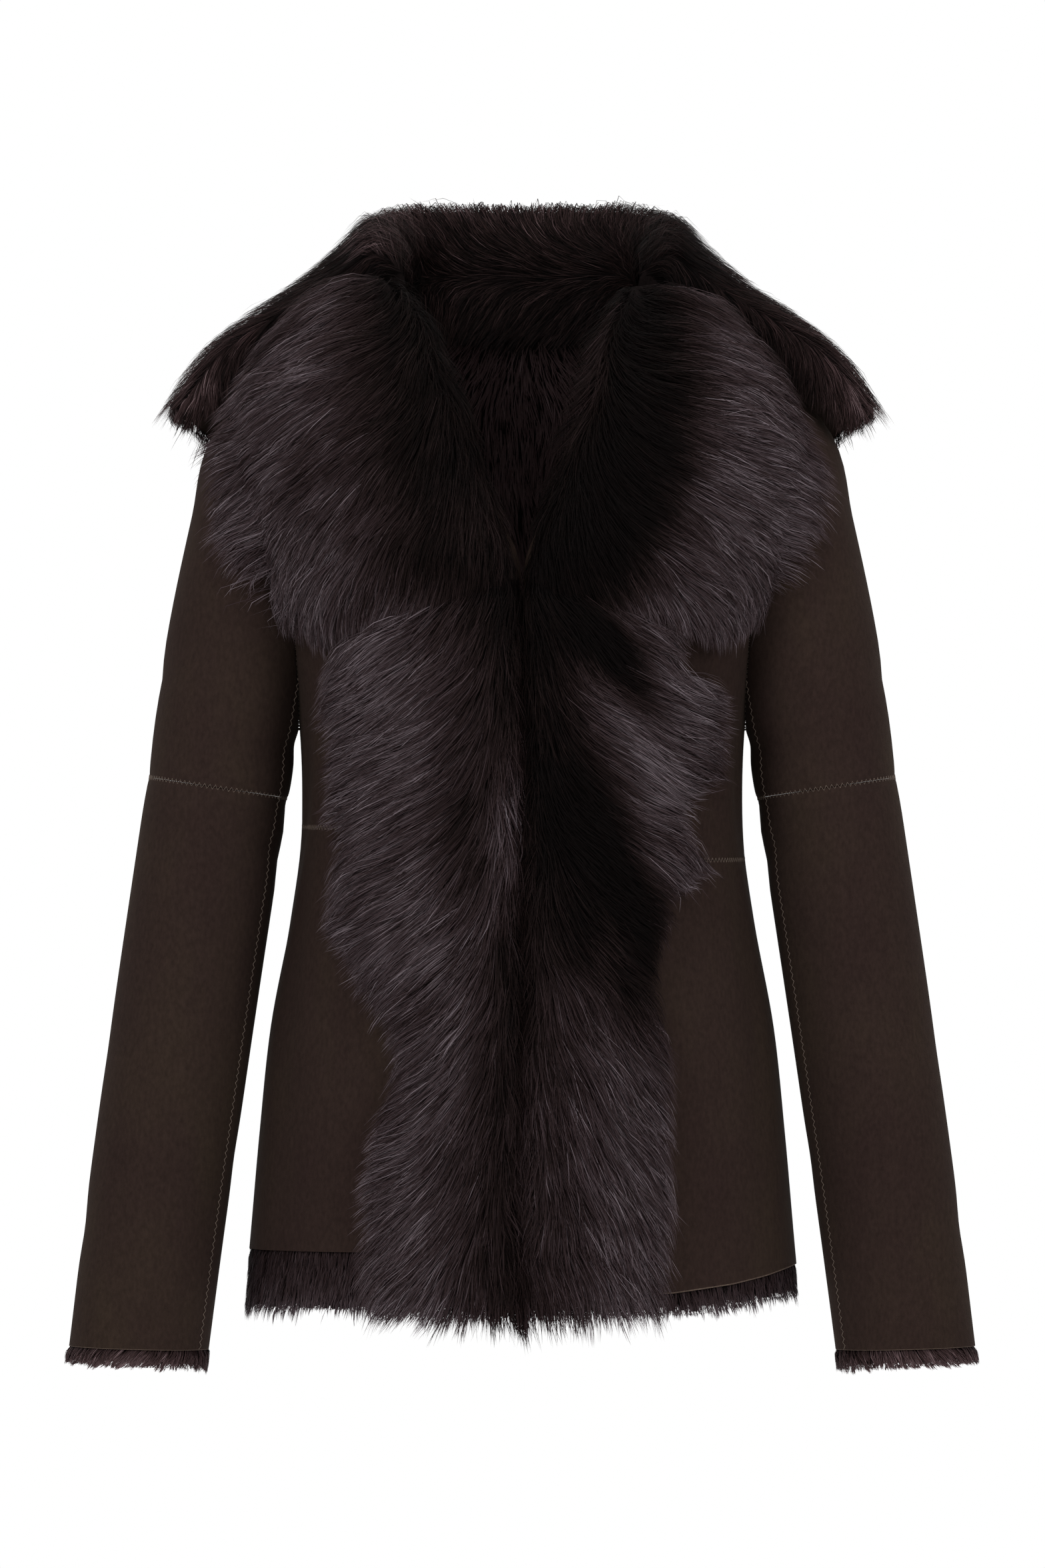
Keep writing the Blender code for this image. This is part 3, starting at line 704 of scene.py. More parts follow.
class Patch:
    """A grid of points that hair grows on: rows down it, columns across it. outward is
    about which way is out, for all of it or for each point."""

    def __init__(self, points, outward):
        self.points = points
        self.across = np.gradient(points, axis=1)
        self.down = np.gradient(points, axis=0)
        crossed = np.cross(self.across, self.down)
        self.normals = unit(crossed)
        self.areas = np.linalg.norm(crossed, axis=-1)[:-1, :-1]
        if (self.normals * outward).sum() < 0.0:
            self.normals = -self.normals

    def at(self, across, down):
        """Places, normals and the two directions at shares across and down the grid. Past
        its edges the surface runs on straight."""
        rows, columns = self.points.shape[:2]
        u = across * (columns - 1)
        v = down * (rows - 1)
        i = np.clip(np.floor(u).astype(int), 0, columns - 2)
        j = np.clip(np.floor(v).astype(int), 0, rows - 2)

        def blended(grid, fu, fv):
            top = grid[j, i] * (1.0 - fu) + grid[j, i + 1] * fu
            low = grid[j + 1, i] * (1.0 - fu) + grid[j + 1, i + 1] * fu
            return top * (1.0 - fv) + low * fv

        fu, fv = (u - i)[:, None], (v - j)[:, None]
        in_u, in_v = np.clip(fu, 0.0, 1.0), np.clip(fv, 0.0, 1.0)
        return (blended(self.points, fu, fv), unit(blended(self.normals, in_u, in_v)),
                blended(self.across, in_u, in_v) * (columns - 1),
                blended(self.down, in_u, in_v) * (rows - 1))

    def scatter(self, rng, count, across=(0.0, 1.0), down=(0.0, 1.0)):
        """Random roots, as shares across and down, evenly over the area."""
        rows, columns = self.areas.shape
        weight = self.areas.copy()
        weight[:, (np.arange(columns) + 1) / columns <= across[0]] = 0.0
        weight[:, np.arange(columns) / columns >= across[1]] = 0.0
        weight[(np.arange(rows) + 1) / rows <= down[0]] = 0.0
        weight[np.arange(rows) / rows >= down[1]] = 0.0
        run = np.cumsum(weight.ravel())
        cell = np.minimum(np.searchsorted(run, rng.random(count) * run[-1]), rows * columns - 1)
        return (np.clip((cell % columns + rng.random(count)) / columns, *across),
                np.clip((cell // columns + rng.random(count)) / rows, *down))


def waves(places, size, rng):
    """A smooth random field over places, mostly from -1 to 1, that turns over this size."""
    total = np.zeros(len(places))
    for _ in range(5):
        towards = unit(rng.normal(size=3)) * 2.0 * np.pi / (size * rng.uniform(0.7, 1.6))
        total += np.sin(places @ towards + rng.uniform(0.0, 2.0 * np.pi))
    return total / 1.8


def lock_numbers(places, spacing, area, rng):
    """Which lock each root belongs to, for locks about this far apart."""
    number = int(np.clip(area / spacing ** 2, 1, len(places)))
    tree = kdtree.KDTree(number)
    for index, seed in enumerate(rng.choice(len(places), number, replace=False)):
        tree.insert(places[seed], index)
    tree.balance()
    return np.array([tree.find(place)[1] for place in places])


def traced(patch, roots, flow, long, turn, bend, high, steps):
    """Points of each hair, the surface's normals there, and where it ends."""
    across, down = roots
    path = np.zeros((len(across), steps + 1, 3))
    normals = np.zeros_like(path)
    for step in range(steps + 1):
        t = step / steps
        place, normal, to_across, to_down = patch.at(across, down)
        rise = math.sin(min(t * RISE, 1.0) * math.pi * 0.5) - SINK * max(t - SHOWN_AT, 0.0)
        path[:, step] = place + normal * (high * rise - ROOT_DEPTH * (1.0 - t))[:, None]
        normals[:, step] = normal
        if step == steps:
            break
        ahead = flow(across, down, to_across, to_down)
        angle = np.radians(turn + bend * t)[:, None]
        ahead = ahead * np.cos(angle) + np.cross(normal, ahead) * np.sin(angle)
        ahead = unit(ahead - normal * (ahead * normal).sum(axis=1, keepdims=True))
        aa = (to_across * to_across).sum(axis=1)
        dd = (to_down * to_down).sum(axis=1)
        ad = (to_across * to_down).sum(axis=1)
        on_across = (ahead * to_across).sum(axis=1) * long / steps
        on_down = (ahead * to_down).sum(axis=1) * long / steps
        solid = np.maximum(aa * dd - ad * ad, 0.05 * aa * dd)
        across = across + (on_across * dd - on_down * ad) / solid
        down = down + (on_down * aa - on_across * ad) / solid
    return path, normals, across, down


def kept_share(first, last, low, high):
    """How much of the way from first to last lies between the limits low and high."""
    way = last - first
    safe = np.where(np.abs(way) < 1e-6, 1e-6, way)
    over = np.where(last > high, (high - first) / safe, 1.0)
    under = np.where(last < low, (low - first) / safe, 1.0)
    return np.clip(np.minimum(over, under), 0.10, 1.0)


def grow(patch, roots, flow, length, height, rng, steps=3, sweep=5.5, curl=8.0, locks=LOCKS,
         wild=0.03, reach=((-FREE, FREE), (-FREE, FREE)), ragged=(0.02, 0.02)):
    """Paths of hairs over a patch, the surface's normals along them, the tone of each one's
    lock and where its outer half lies. flow gives their direction, length and height are
    numbers or one value for each hair, sweep and curl the degrees that they stray by. Tips
    stay within reach, as shares across and down, but for a ragged edge."""
    count = len(roots[0])
    root_places = patch.at(*roots)[0]
    area = patch.areas.sum()
    members = [lock_numbers(root_places, spacing, area, rng) for spacing, _ in locks]
    sizes = [numbers.max() + 1 for numbers in members]

    def by_lock(kind, draw, first, second):
        return draw(first, second, sizes[kind])[members[kind]]

    turn = (waves(root_places, TURN_FIELD, rng) * sweep
            + by_lock(0, rng.normal, 0.0, sweep * 0.6) + rng.normal(0.0, sweep * 0.6, count))
    bend = by_lock(0, rng.normal, 0.0, curl) + rng.normal(0.0, curl * 0.5, count)
    long = length * rng.uniform(0.70, 1.10, count) * by_lock(1, rng.uniform, 0.88, 1.12)
    high = (height * rng.uniform(0.45, 1.15, count) * by_lock(0, rng.uniform, 0.85, 1.15)
            * (1.0 + 0.08 * waves(root_places, HEIGHT_FIELD, rng)))
    stray = rng.random(count) < wild
    turn = np.where(stray, turn * 2.0, turn)
    high = np.where(stray, high * 1.4, high)
    across, down = traced(patch, roots, flow, long, turn, bend, high, steps)[2:]
    slack = by_lock(0, rng.normal, 0.0, 1.0) - rng.uniform(0.0, 2.0, count)
    slack += 0.5 * by_lock(1, rng.normal, 0.0, 1.0)
    limits = [(low - slack * edge, high + slack * edge) for (low, high), edge in zip(reach, ragged)]
    share = np.minimum(kept_share(roots[0], across, *limits[0]),
                       kept_share(roots[1], down, *limits[1]))
    path, normals = traced(patch, roots, flow, long * share, turn, bend,
                           high * between(0.4, 1.0, share), steps)[:2]
    for (_, pull), numbers, size in zip(locks, members, sizes):
        weight = np.bincount(numbers, minlength=size).astype(float)
        strength = pull * rng.uniform(0.4, 1.0, size)[numbers] * share
        for step in range(1, steps + 1):
            middle = np.stack([np.bincount(numbers, path[:, step, k], size) for k in range(3)],
                              axis=1) / weight[:, None]
            pulled = (strength * (step / steps) ** 1.5)[:, None]
            path[:, step] += (middle[numbers] - path[:, step]) * pulled
    lock_tone = by_lock(0, rng.normal, 0.0, 0.07) + 0.04 * waves(root_places, TONE_FIELD, rng)
    shown = (roots[0] + (across - roots[0]) * share * SHOWN_AT,
             roots[1] + (down - roots[1]) * share * SHOWN_AT)
    return path, normals, lock_tone, shown


def shades(base, lock_tone, rng, contrast):
    """Each hair's own tone about its place's: some are much lighter, as painted glints, least so in
    the painted shade of hollows.
    """
    count = len(lock_tone)
    spread = lock_tone + rng.normal(0.0, 0.13, count)
    # Painted glints on a share of the hairs.
    spread += np.where(rng.random(count) < PAINTED_GLINT_SHARE, rng.uniform(0.10, 0.36, count), 0.0)
    return base + spread * np.clip(0.36 + 1.5 * base, 0.34, 1.15) * contrast


def hairs(name, path, normals, tone, width, rng, material):
    """One mesh of ribbons along paths, each ending in a point and shaded as if it were
    round. tone picks each one's colour."""
    count, points = path.shape[:2]
    steps = points - 1
    along = unit(np.gradient(path, axis=1))
    side = unit(np.cross(along, normals))
    upright = np.cross(side, along)
    lean = rng.normal(0.0, 0.35, count)[:, None, None]
    side = side * np.cos(lean) + upright * np.sin(lean)
    shape = np.interp(np.linspace(0.0, 1.0, points), (0.0, 0.3, 0.7, 1.0), (0.8, 1.0, 0.8, 0.0))
    reach = (width * rng.uniform(0.6, 1.3, count))[:, None, None] * shape[None, :, None] * 0.5
    tilted = unit(normals + upright * 0.6 + side * rng.normal(0.0, 0.25, count)[:, None, None])
    own = 2 * steps + 1
    vertices, shading = np.zeros((2, count, own, 3))
    for made, middle, off in ((vertices, path, side * reach), (shading, tilted, side * 0.45)):
        made[:, 0:2 * steps:2] = (middle - off)[:, :steps]
        made[:, 1:2 * steps:2] = (middle + off)[:, :steps]
        made[:, -1] = middle[:, -1]
    quads = np.array([(2 * k, 2 * k + 1, 2 * k + 3, 2 * k + 2) for k in range(steps - 1)])
    tip = np.array((2 * steps - 2, 2 * steps - 1, 2 * steps))
    pattern = np.concatenate((quads.ravel(), tip))
    loops = (pattern[None] + (np.arange(count) * own)[:, None]).ravel()
    totals = np.tile([4] * (steps - 1) + [3], count)
    firsts = np.concatenate(((0,), np.cumsum(totals)[:-1]))
    mesh = bpy.data.meshes.new(name)
    mesh.vertices.add(count * own)
    mesh.vertices.foreach_set("co", (vertices * MM).astype(np.float32).ravel())
    mesh.loops.add(len(loops))
    mesh.loops.foreach_set("vertex_index", loops.astype(np.int32))
    mesh.polygons.add(len(totals))
    mesh.polygons.foreach_set("loop_start", firsts.astype(np.int32))
    mesh.polygons.foreach_set("loop_total", totals.astype(np.int32))
    mesh.update(calc_edges=True)
    mesh.validate()
    up_hair = np.append(np.repeat(np.arange(steps), 2) / steps, 1.0)
    over_hair = np.append(np.tile((-0.006, 0.006), steps), 0.0)
    u = np.clip(tone, 0.012, 0.988)[:, None] + over_hair[pattern][None]
    v = np.tile(0.01 + 0.98 * up_hair[pattern], count)
    layer = mesh.uv_layers.new(name="OFBake")
    layer.uv.foreach_set("vector", np.stack((u.ravel(), v), axis=-1).astype(np.float32).ravel())
    mesh.materials.append(material)
    mesh.shade_smooth()
    mesh.normals_split_custom_set_from_vertices(unit(shading).reshape(-1, 3))
    piece = link(name, mesh)
    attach(piece, ROOT)
    return piece


def wool(name, patch, roots, flow, length, height, rng, tone, width=HAIR_WIDTH,
         material=BROWN_HAIR, contrast=1.0, **how):
    """Hairs grown over a patch as one piece. tone is how light each is, or a function that
    says it from where the hairs' outer halves lie. The rest is as for grow."""
    path, normals, lock_tone, shown = grow(patch, roots, flow, length, height, rng, **how)
    base = tone(*shown) if callable(tone) else tone
    return hairs(name, path, normals, shades(base, lock_tone, rng, contrast), width, rng, material)


# ---- suede pieces


def spread_rows(low, high):
    """A column of heights from low to high, close together at both ends."""
    return between(low, high, edge_spaced(high - low))[:, None]


def suede_panel(name, points_at, places, inset, wall, mirror=1.0, **edges):
    """A panel of hide in place of its solid, and the grid of its outer face."""
    outer = points_at(*places, inset) * mirror
    inner = points_at(*places, np.maximum(inset + SUEDE_WALL, wall)) * mirror
    materials = (SUEDE, UNDERWOOL, CUT_EDGE)
    return shell(name + "_suede", name, "suede", outer, inner, materials, **edges), outer


def make_front(side, arm):
    """Upper and lower front of one side, open where the arm goes through."""
    sign = mirrored(side)[0]
    seam = WAIST_SEAM[side]
    shares = edge_spaced(FRONT_WIDTH)
    made = {}
    for part, low, high in (("lower", RIGHT_HEM_Z, seam - SEAM), ("upper", seam, FRONT_TOP)):
        level = spread_rows(low, high)
        height = (level - low) / (high - low)
        gap = 0.5 * SEAM / (np.pi * body_size(level)[0])
        turn = sign * between(front_edge_turn(level), 0.5 + gap, shares)
        z = between(hem_z(side, turn), high, height) if part == "lower" else level
        dip = (seam_dip(height, high - low, part == "upper", part == "lower")
               + seam_dip(shares, FRONT_WIDTH, False, True))
        name = "front_" + side + "_" + part
        rim_row = 0 if name == "front_left_lower" else None
        made[part] = suede_panel(name, body_points, (turn, z), body_relief(turn, z) + dip,
                                 BODY_WALL, first_edge=INNER_FACE, rim_row=rim_row)
    cut_open(made["upper"][0], arm)
    return made


def make_back(arms):
    """The back, one panel from hem to neck."""
    shares = edge_spaced(BACK_WIDTH)
    level = spread_rows(BACK_HEM_Z["right"], 0.0)
    gap = 0.5 * SEAM / (np.pi * body_size(level)[0])
    turn = between(-0.5 + gap, 0.5 - gap, shares)
    z = between(hem_z("back", turn), 0.0, 1.0 - level / BACK_HEM_Z["right"])
    inset = body_relief(turn, z) + seam_dip(shares, BACK_WIDTH)
    piece, outer = suede_panel("back", body_points, (turn, z), inset, BODY_WALL)
    for arm in arms:
        cut_open(piece, arm)
    return piece, outer


def arm_hollow(side):
    """The inside of a sleeve as a solid, to cut its armhole with."""
    places = np.linspace(0.0, ELBOW, 21)[:, None]
    rings = arm_points(places, SLEEVE_ANGLES, SLEEVE_WALL) * mirrored(side)
    name = "arm_hollow_" + side
    faces = tube_faces(len(places), SLEEVE_SIDES)
    return link(name, new_mesh(name, rings, faces, (UNDERWOOL,)))


def cut_open(piece, cutter):
    """Take the cutter out of a piece's mesh."""
    modifier = piece.modifiers.new("armhole", "BOOLEAN")
    modifier.operation = "DIFFERENCE"
    modifier.solver = "EXACT"
    modifier.object = cutter
    shown = piece.evaluated_get(bpy.context.evaluated_depsgraph_get())
    mesh = bpy.data.meshes.new_from_object(shown)
    piece.modifiers.clear()
    piece.data = mesh


def armhole_places():
    """Place along the sleeve where it leaves the torso, for each angle round it."""
    places = np.linspace(0.3, 5.0, 400)
    inside = inside_torso(arm_points(places[:, None], SLEEVE_ANGLES))
    last = len(places) - 1 - np.argmax(inside[::-1], axis=0)
    return places[np.minimum(last + 1, len(places) - 1)]


def make_sleeve(side, armhole):
    """Both lengths of one sleeve, from its armhole seam to its cuff."""
    below_elbow = ELBOW + SEAM / ARM_FALL[ELBOW]
    made = {}
    for part, first, last, length in (("upper", armhole, ELBOW, 200.0),
                                      ("lower", below_elbow, CUFF, 355.0)):
        shares = edge_spaced(length)[:, None]
        place = between(first, last, shares)
        inset = arm_relief(place, SLEEVE_ANGLES) + seam_dip(shares, length, True, part == "upper")
        rim_row = -1 if part == "lower" else None
        piece, outer = suede_panel("sleeve_" + side + "_" + part, arm_points,
                                   (place, SLEEVE_ANGLES), inset, SLEEVE_WALL, mirrored(side),
                                   ring=True, rim_row=rim_row)
        made[part] = (piece, closed_ring(outer))
    return made


def zigzag(name, line, normals, reach=STITCH_REACH, pitch=STITCH_PITCH):
    """A zigzag of thread along a line on the suede."""
    steps = np.linalg.norm(np.diff(line, axis=0), axis=1)
    run = np.concatenate(((0.0,), np.cumsum(steps)))
    count = max(int(run[-1] / pitch), 2)
    where = np.linspace(0.0, run[-1], count)
    base, up = (np.stack([np.interp(where, run, values[:, k]) for k in range(3)], axis=1)
                for values in (line, normals))
    up = unit(up)
    side = unit(np.cross(unit(np.gradient(base, axis=0)), up))
    swing = np.where(np.arange(count) % 2 == 0, 1.0, -1.0)[:, None]
    path = base + side * swing * reach + up * (THREAD * 0.7)
    flat = unit(np.cross(unit(np.gradient(path, axis=0)), up))
    rings = np.stack((path + flat * THREAD, path + up * THREAD,
                      path - flat * THREAD, path - up * THREAD), axis=1)
    piece = add_piece(name, rings, tube_faces(count, 4), (THREAD_BROWN,))
    return piece


def make_stitching(side, armhole):
    """Zigzag sewing at the waist, side, elbow, armhole and along the sleeve."""
    mirror = mirrored(side)
    seam = WAIST_SEAM[side] - SEAM * 0.5
    front_edge = float(front_edge_turn(np.array(seam)))
    turn = between(front_edge, 0.5, np.linspace(0.0, 1.0, 80)) * mirror[0]
    waist = body_points(turn, seam, SEAM_DIP + body_relief(turn, seam))
    z = np.linspace(BACK_HEM_Z[side] + 2.0, -244.0, 120)
    turn = mirror[0] * 0.5
    flank = body_points(turn, z, SEAM_DIP * 2.0 + body_relief(turn, z))
    angle = np.linspace(0.0, 2.0 * np.pi, 120)
    place = np.full_like(angle, ELBOW + 0.001)
    elbow = arm_points(place, angle, SEAM_DIP + arm_relief(place, angle)) * mirror
    place = np.linspace(3.4, CUFF - 0.01, 260)
    inseam = arm_points(place, INSEAM_ANGLE, arm_relief(place, INSEAM_ANGLE)) * mirror
    round_arm = arm_points(np.append(armhole, armhole[0]),
                           np.append(SLEEVE_ANGLES, 2.0 * np.pi), SEAM_DIP) * mirror
    seams = {
        "waist": (waist, waist * np.array((1.0, 1.6, 0.0))),
        "side": (flank, flank * np.array((1.0, 0.0, 0.0))),
        "elbow": (elbow, elbow - np.array(ARM[ELBOW][:3]) * mirror),
        "sleeve": (inseam, inseam - arm_points(place, INSEAM_ANGLE, 40.0) * mirror, 1.2, 2.2),
        "armhole": (round_arm, round_arm - np.array((150.0, 3.0, -100.0)) * mirror),
    }
    return {seam: zigzag(seam + "_stitches_" + side, *how) for seam, how in seams.items()}


# ---- wool pieces

# Which way the hair lies on a turned-back piece, in degrees below straight outwards: a row
# for each place down the piece, a column for each place from the roll to the free edge.
FLOW_ACROSS = (0.0, 0.05, 0.14, 0.30, 0.60, 1.0)
LAPEL_RIGHT_FLOW = (
    (120, 80, 60, 48, 42, 40),
    (110, 88, 64, 34, 22, 22),
    (100, 96, 80, 48, 30, 22),
    (98, 96, 86, 66, 46, 36),
    (94, 94, 90, 80, 68, 58),
)
LAPEL_LEFT_FLOW = (
    (190, 110, 48, 38, 38, 40),
    (170, 100, 42, 18, 14, 18),
    (140, 92, 55, 22, 15, 20),
    (110, 94, 74, 40, 30, 36),
    (94, 92, 86, 66, 58, 60),
)
CASCADE_RIGHT_FLOW = (
    (92, 90, 80, 55, 40, 35),
    (94, 92, 78, 45, 22, 15),
    (94, 92, 80, 52, 30, 20),
    (94, 92, 86, 65, 50, 45),
    (93, 92, 86, 68, 38, 15),
    (92, 91, 89, 80, 65, 50),
)
CASCADE_LEFT_FLOW = (
    (92, 90, 76, 55, 42, 18),
    (94, 91, 74, 45, 27, 0),
    (94, 92, 74, 42, 28, 22),
    (94, 92, 82, 62, 48, 42),
    (93, 91, 85, 70, 58, 48),
    (92, 91, 89, 84, 76, 68),
)

# How far out each cascade's wool reaches: shares down its panel, and across it there.
LAPEL_EDGE = ((0.0, 1.0), (1.0, 1.0))
CASCADE_RIGHT_EDGE = (
    (0, 1), (0.085, 1), (0.165, 0.955), (0.245, 0.945), (0.275, 0.915), (0.288, 0.87),
    (0.305, 0.9), (0.33, 0.93), (0.355, 0.95), (0.38, 1), (1, 1),
)
CASCADE_LEFT_EDGE = (
    (0, 0.85), (0.05, 0.84), (0.092, 0.77), (0.104, 0.93), (0.13, 1), (0.25, 0.98),
    (0.272, 0.83), (0.3, 0.78), (0.33, 0.85), (0.36, 0.98), (0.385, 0.92), (0.415, 0.81),
    (0.45, 0.79), (0.495, 0.82), (0.54, 0.86), (0.585, 0.86), (0.63, 0.93), (0.72, 0.94),
    (0.875, 0.94), (1, 0.96),
)

# How light the hair is painted, with painted shade at the roll and painted sheen towards the
# free edge: at the roll, from where and to where across the piece it gets lighter, and how
# light it is from there out.
LAPEL_RIGHT_TONE = (0.02, 0.22, 0.54, 0.54)
LAPEL_LEFT_TONE = (-0.04, 0.34, 0.58, 0.53)
CASCADE_RIGHT_TONE = (0.08, 0.10, 0.48, 0.57)
CASCADE_LEFT_TONE = (0.12, 0.12, 0.54, 0.56)

# Painted sheen where the hair catches more light, and painted shade where it lies in a dark
# hollow: the middle, the half sizes, how far across it leans on its way down, and how much,
# as shares across and down the piece.
LAPEL_RIGHT_SHEEN_AND_SHADE = (
    (0.6, 0.33, 0.22, 0.09, 0.6, 0.06),
    (0.88, 0.04, 0.3, 0.12, 0, -0.28),
    (0.98, 0.5, 0.1, 0.06, 0, -0.22),
    (0.62, 0.95, 0.12, 0.05, 0, -0.14),
    (0.8, 0.24, 0.045, 0.1, 1.65, -0.3),
    (0.1, 0.84, 0.16, 0.14, 0, 0.12),
    (0.38, 0.88, 0.14, 0.1, 0, -0.2),
    (0.88, 0.84, 0.16, 0.08, 0, 0.16),
    (0.56, 0.55, 0.06, 0.12, 0.3, -0.16),
)
LAPEL_LEFT_SHEEN_AND_SHADE = (
    (0.02, 0.34, 0.07, 0.26, 0, 0.3),
    (0.5, 0.58, 0.1, 0.14, 0, 0.2),
    (0.66, 0.09, 0.3, 0.1, 0, -0.16),
    (0.99, 0.27, 0.11, 0.14, 0, -0.64),
    (0.82, 0.6, 0.16, 0.3, 0, 0.1),
    (0.25, 0.75, 0.12, 0.2, 0, -0.08),
)
CASCADE_RIGHT_SHEEN_AND_SHADE = (
    (0.08, 0.29, 0.1, 0.1, 0, 0.24),
    (0.1, 0.31, 0.05, 0.08, 0.6, 0.26),
    (0.33, 0.3, 0.1, 0.07, 0, -0.16),
    (0.33, 0.09, 0.1, 0.05, 0, 0.12),
    (0.98, 0.68, 0.12, 0.05, 0, -0.26),
    (0.4, 0.07, 0.16, 0.07, 0, -0.22),
    (0.12, 0.03, 0.22, 0.05, 0, -0.12),
    (0.66, 0.12, 0.2, 0.08, 0, 0.12),
    (0.75, 0.54, 0.26, 0.06, 0, -0.12),
    (0.5, 0.42, 0.14, 0.1, 1.5, 0.08),
    (0.25, 0.43, 0.12, 0.06, 1, 0.14),
    (0.04, 0.82, 0.08, 0.16, 0, 0.16),
    (0.48, 0.82, 0.16, 0.14, 0, -0.12),
    (0.5, 1, 1.5, 0.03, 0, 0.12),
)
CASCADE_LEFT_SHEEN_AND_SHADE = (
    (0.49, 0.205, 0.09, 0.11, 2.6, 0.22),
    (0.84, 0.3, 0.06, 0.11, 2.2, 0.18),
    (0.48, 0.12, 0.085, 0.065, 2, -0.42),
    (0.94, 0.24, 0.12, 0.04, 0, -0.12),
    (0.85, 0.46, 0.22, 0.04, 0, -0.1),
    (0.18, 0.37, 0.08, 0.06, 0, -0.2),
    (0.53, 0.44, 0.17, 0.18, 1.9, -0.6),
    (0.62, 0.61, 0.2, 0.09, 1.2, -0.42),
    (0.33, 0.49, 0.14, 0.08, 0.5, -0.3),
    (0.36, 0.27, 0.12, 0.1, 1, -0.24),
    (0.36, 0.07, 0.26, 0.07, 0, -0.46),
    (0.74, 0.13, 0.14, 0.07, 0, 0.12),
    (0.1, 0.84, 0.22, 0.16, 0, 0.18),
    (0.5, 1, 1.5, 0.03, 0, 0.12),
)

# What both lapels and both cascades have in common: hairs, their length, the places down the
# piece of its rows of directions, the lowest roots and how far down the tips may reach.
LAPEL = {"count": 26000, "length": 36.0, "flow_down": (0.0, 0.25, 0.50, 0.75, 1.0),
         "bottom": 0.995, "lowest": 1.09}
CASCADE = {"count": 31500, "length": 38.0, "flow_down": (0.0, 0.20, 0.42, 0.60, 0.80, 1.0),
           "bottom": 0.975, "lowest": 1.013}
ROOTS_ACROSS = 0.86    # their outermost roots, as a share of the way across
LEAVES = (
    ("lapel_right", LAPEL, LAPEL_RIGHT, LAPEL_RIGHT_FLOW, LAPEL_RIGHT_TONE, LAPEL_RIGHT_SHEEN_AND_SHADE,
     LAPEL_EDGE),
    ("lapel_left", LAPEL, LAPEL_LEFT, LAPEL_LEFT_FLOW, LAPEL_LEFT_TONE, LAPEL_LEFT_SHEEN_AND_SHADE,
     LAPEL_EDGE),
    ("cascade_right", CASCADE, CASCADE_RIGHT, CASCADE_RIGHT_FLOW, CASCADE_RIGHT_TONE,
     CASCADE_RIGHT_SHEEN_AND_SHADE, CASCADE_RIGHT_EDGE),
    ("cascade_left", CASCADE, CASCADE_LEFT, CASCADE_LEFT_FLOW, CASCADE_LEFT_TONE,
     CASCADE_LEFT_SHEEN_AND_SHADE, CASCADE_LEFT_EDGE),
)


def over_piece(across_stops, down_stops, rows, across, down):
    """Value between the rows and columns of a table."""
    table = np.array(rows)
    u = np.clip(across, across_stops[0], across_stops[-1])
    v = np.clip(down, down_stops[0], down_stops[-1])
    by_row = np.array([np.interp(u, across_stops, row) for row in table])
    j = np.clip(np.searchsorted(down_stops, v) - 1, 0, len(down_stops) - 2)
    low, high = np.array(down_stops)[j], np.array(down_stops)[j + 1]
    share = (v - low) / (high - low)
    index = np.arange(len(u))
    return between(by_row[j, index], by_row[j + 1, index], share)


def leaf_tone(levels, sheen, across, down):
    """How light the hair is painted over a turned-back piece: painted shade at the roll and in
    hollows, painted sheen where it catches more light.
    """
    roll, rises_from, full_from, outer = levels
    tone = np.interp(across, (0.0, rises_from, full_from), (roll, roll + 0.04, outer))
    for middle, height, half_across, half_down, lean, amount in sheen:
        off = across - middle - lean * (down - height)
        tone += amount * np.exp(-(off / half_across) ** 2 - ((down - height) / half_down) ** 2)
    return tone


def make_leaf(name, kind, table, flow_rows, levels, sheen, edge, seed):
    """A turned-back piece: its dense underwool and the long hair over it, both ragged at
    the outer edge, and the grid that its panel is cut from."""
    mirror = mirrored(name.split("_")[1])
    rng = np.random.default_rng(seed)

    def top_of_under(across, down):
        drawn_in, whole = (wool_profile(np.minimum(place, 1.0))
                           for place in (across / read_off(edge, down), across))
        share = UNDER_SHARE * drawn_in / np.maximum(whole, 0.05)
        return leaf_points(table, mirror, across, down, share)

    def flow(across, down, to_across, to_down):
        angle = np.radians(over_piece(FLOW_ACROSS, kind["flow_down"], flow_rows, across, down))
        return np.stack((mirror[0] * np.cos(angle), 0.0 * angle, -np.sin(angle)), axis=-1)

    across, down = grid(44, 28, (0.0, 0.90), (0.01, 0.975))
    cut = leaf_points(table, mirror, across, down, UNDER_SHARE)
    across = across * read_off(edge, down)
    under = shell(name + "_underwool", name, "wool", top_of_under(across, down),
                  leaf_points(table, mirror, across, down, 0.0), ALL_WOOL)
    patch = Patch(top_of_under(*grid(61, 31)), FORWARD)
    roots = patch.scatter(rng, kind["count"], (0.0, ROOTS_ACROSS), (0.0, kind["bottom"]))
    inside = roots[0] < ROOTS_ACROSS * read_off(edge, roots[1])
    roots = (roots[0][inside], roots[1][inside])
    limit = read_off(edge, roots[1] + TIP_DROP)
    hair = wool(name + "_hair", patch, roots, flow, kind["length"],
                4.0 + 8.0 * wool_profile(roots[0]), rng,
                lambda *shown: leaf_tone(levels, sheen, *shown), material=HAIR,
                reach=((-0.07, 1.07 * limit), (-0.02, kind["lowest"])), ragged=(0.06, 0.013))
    return under, cut, hair


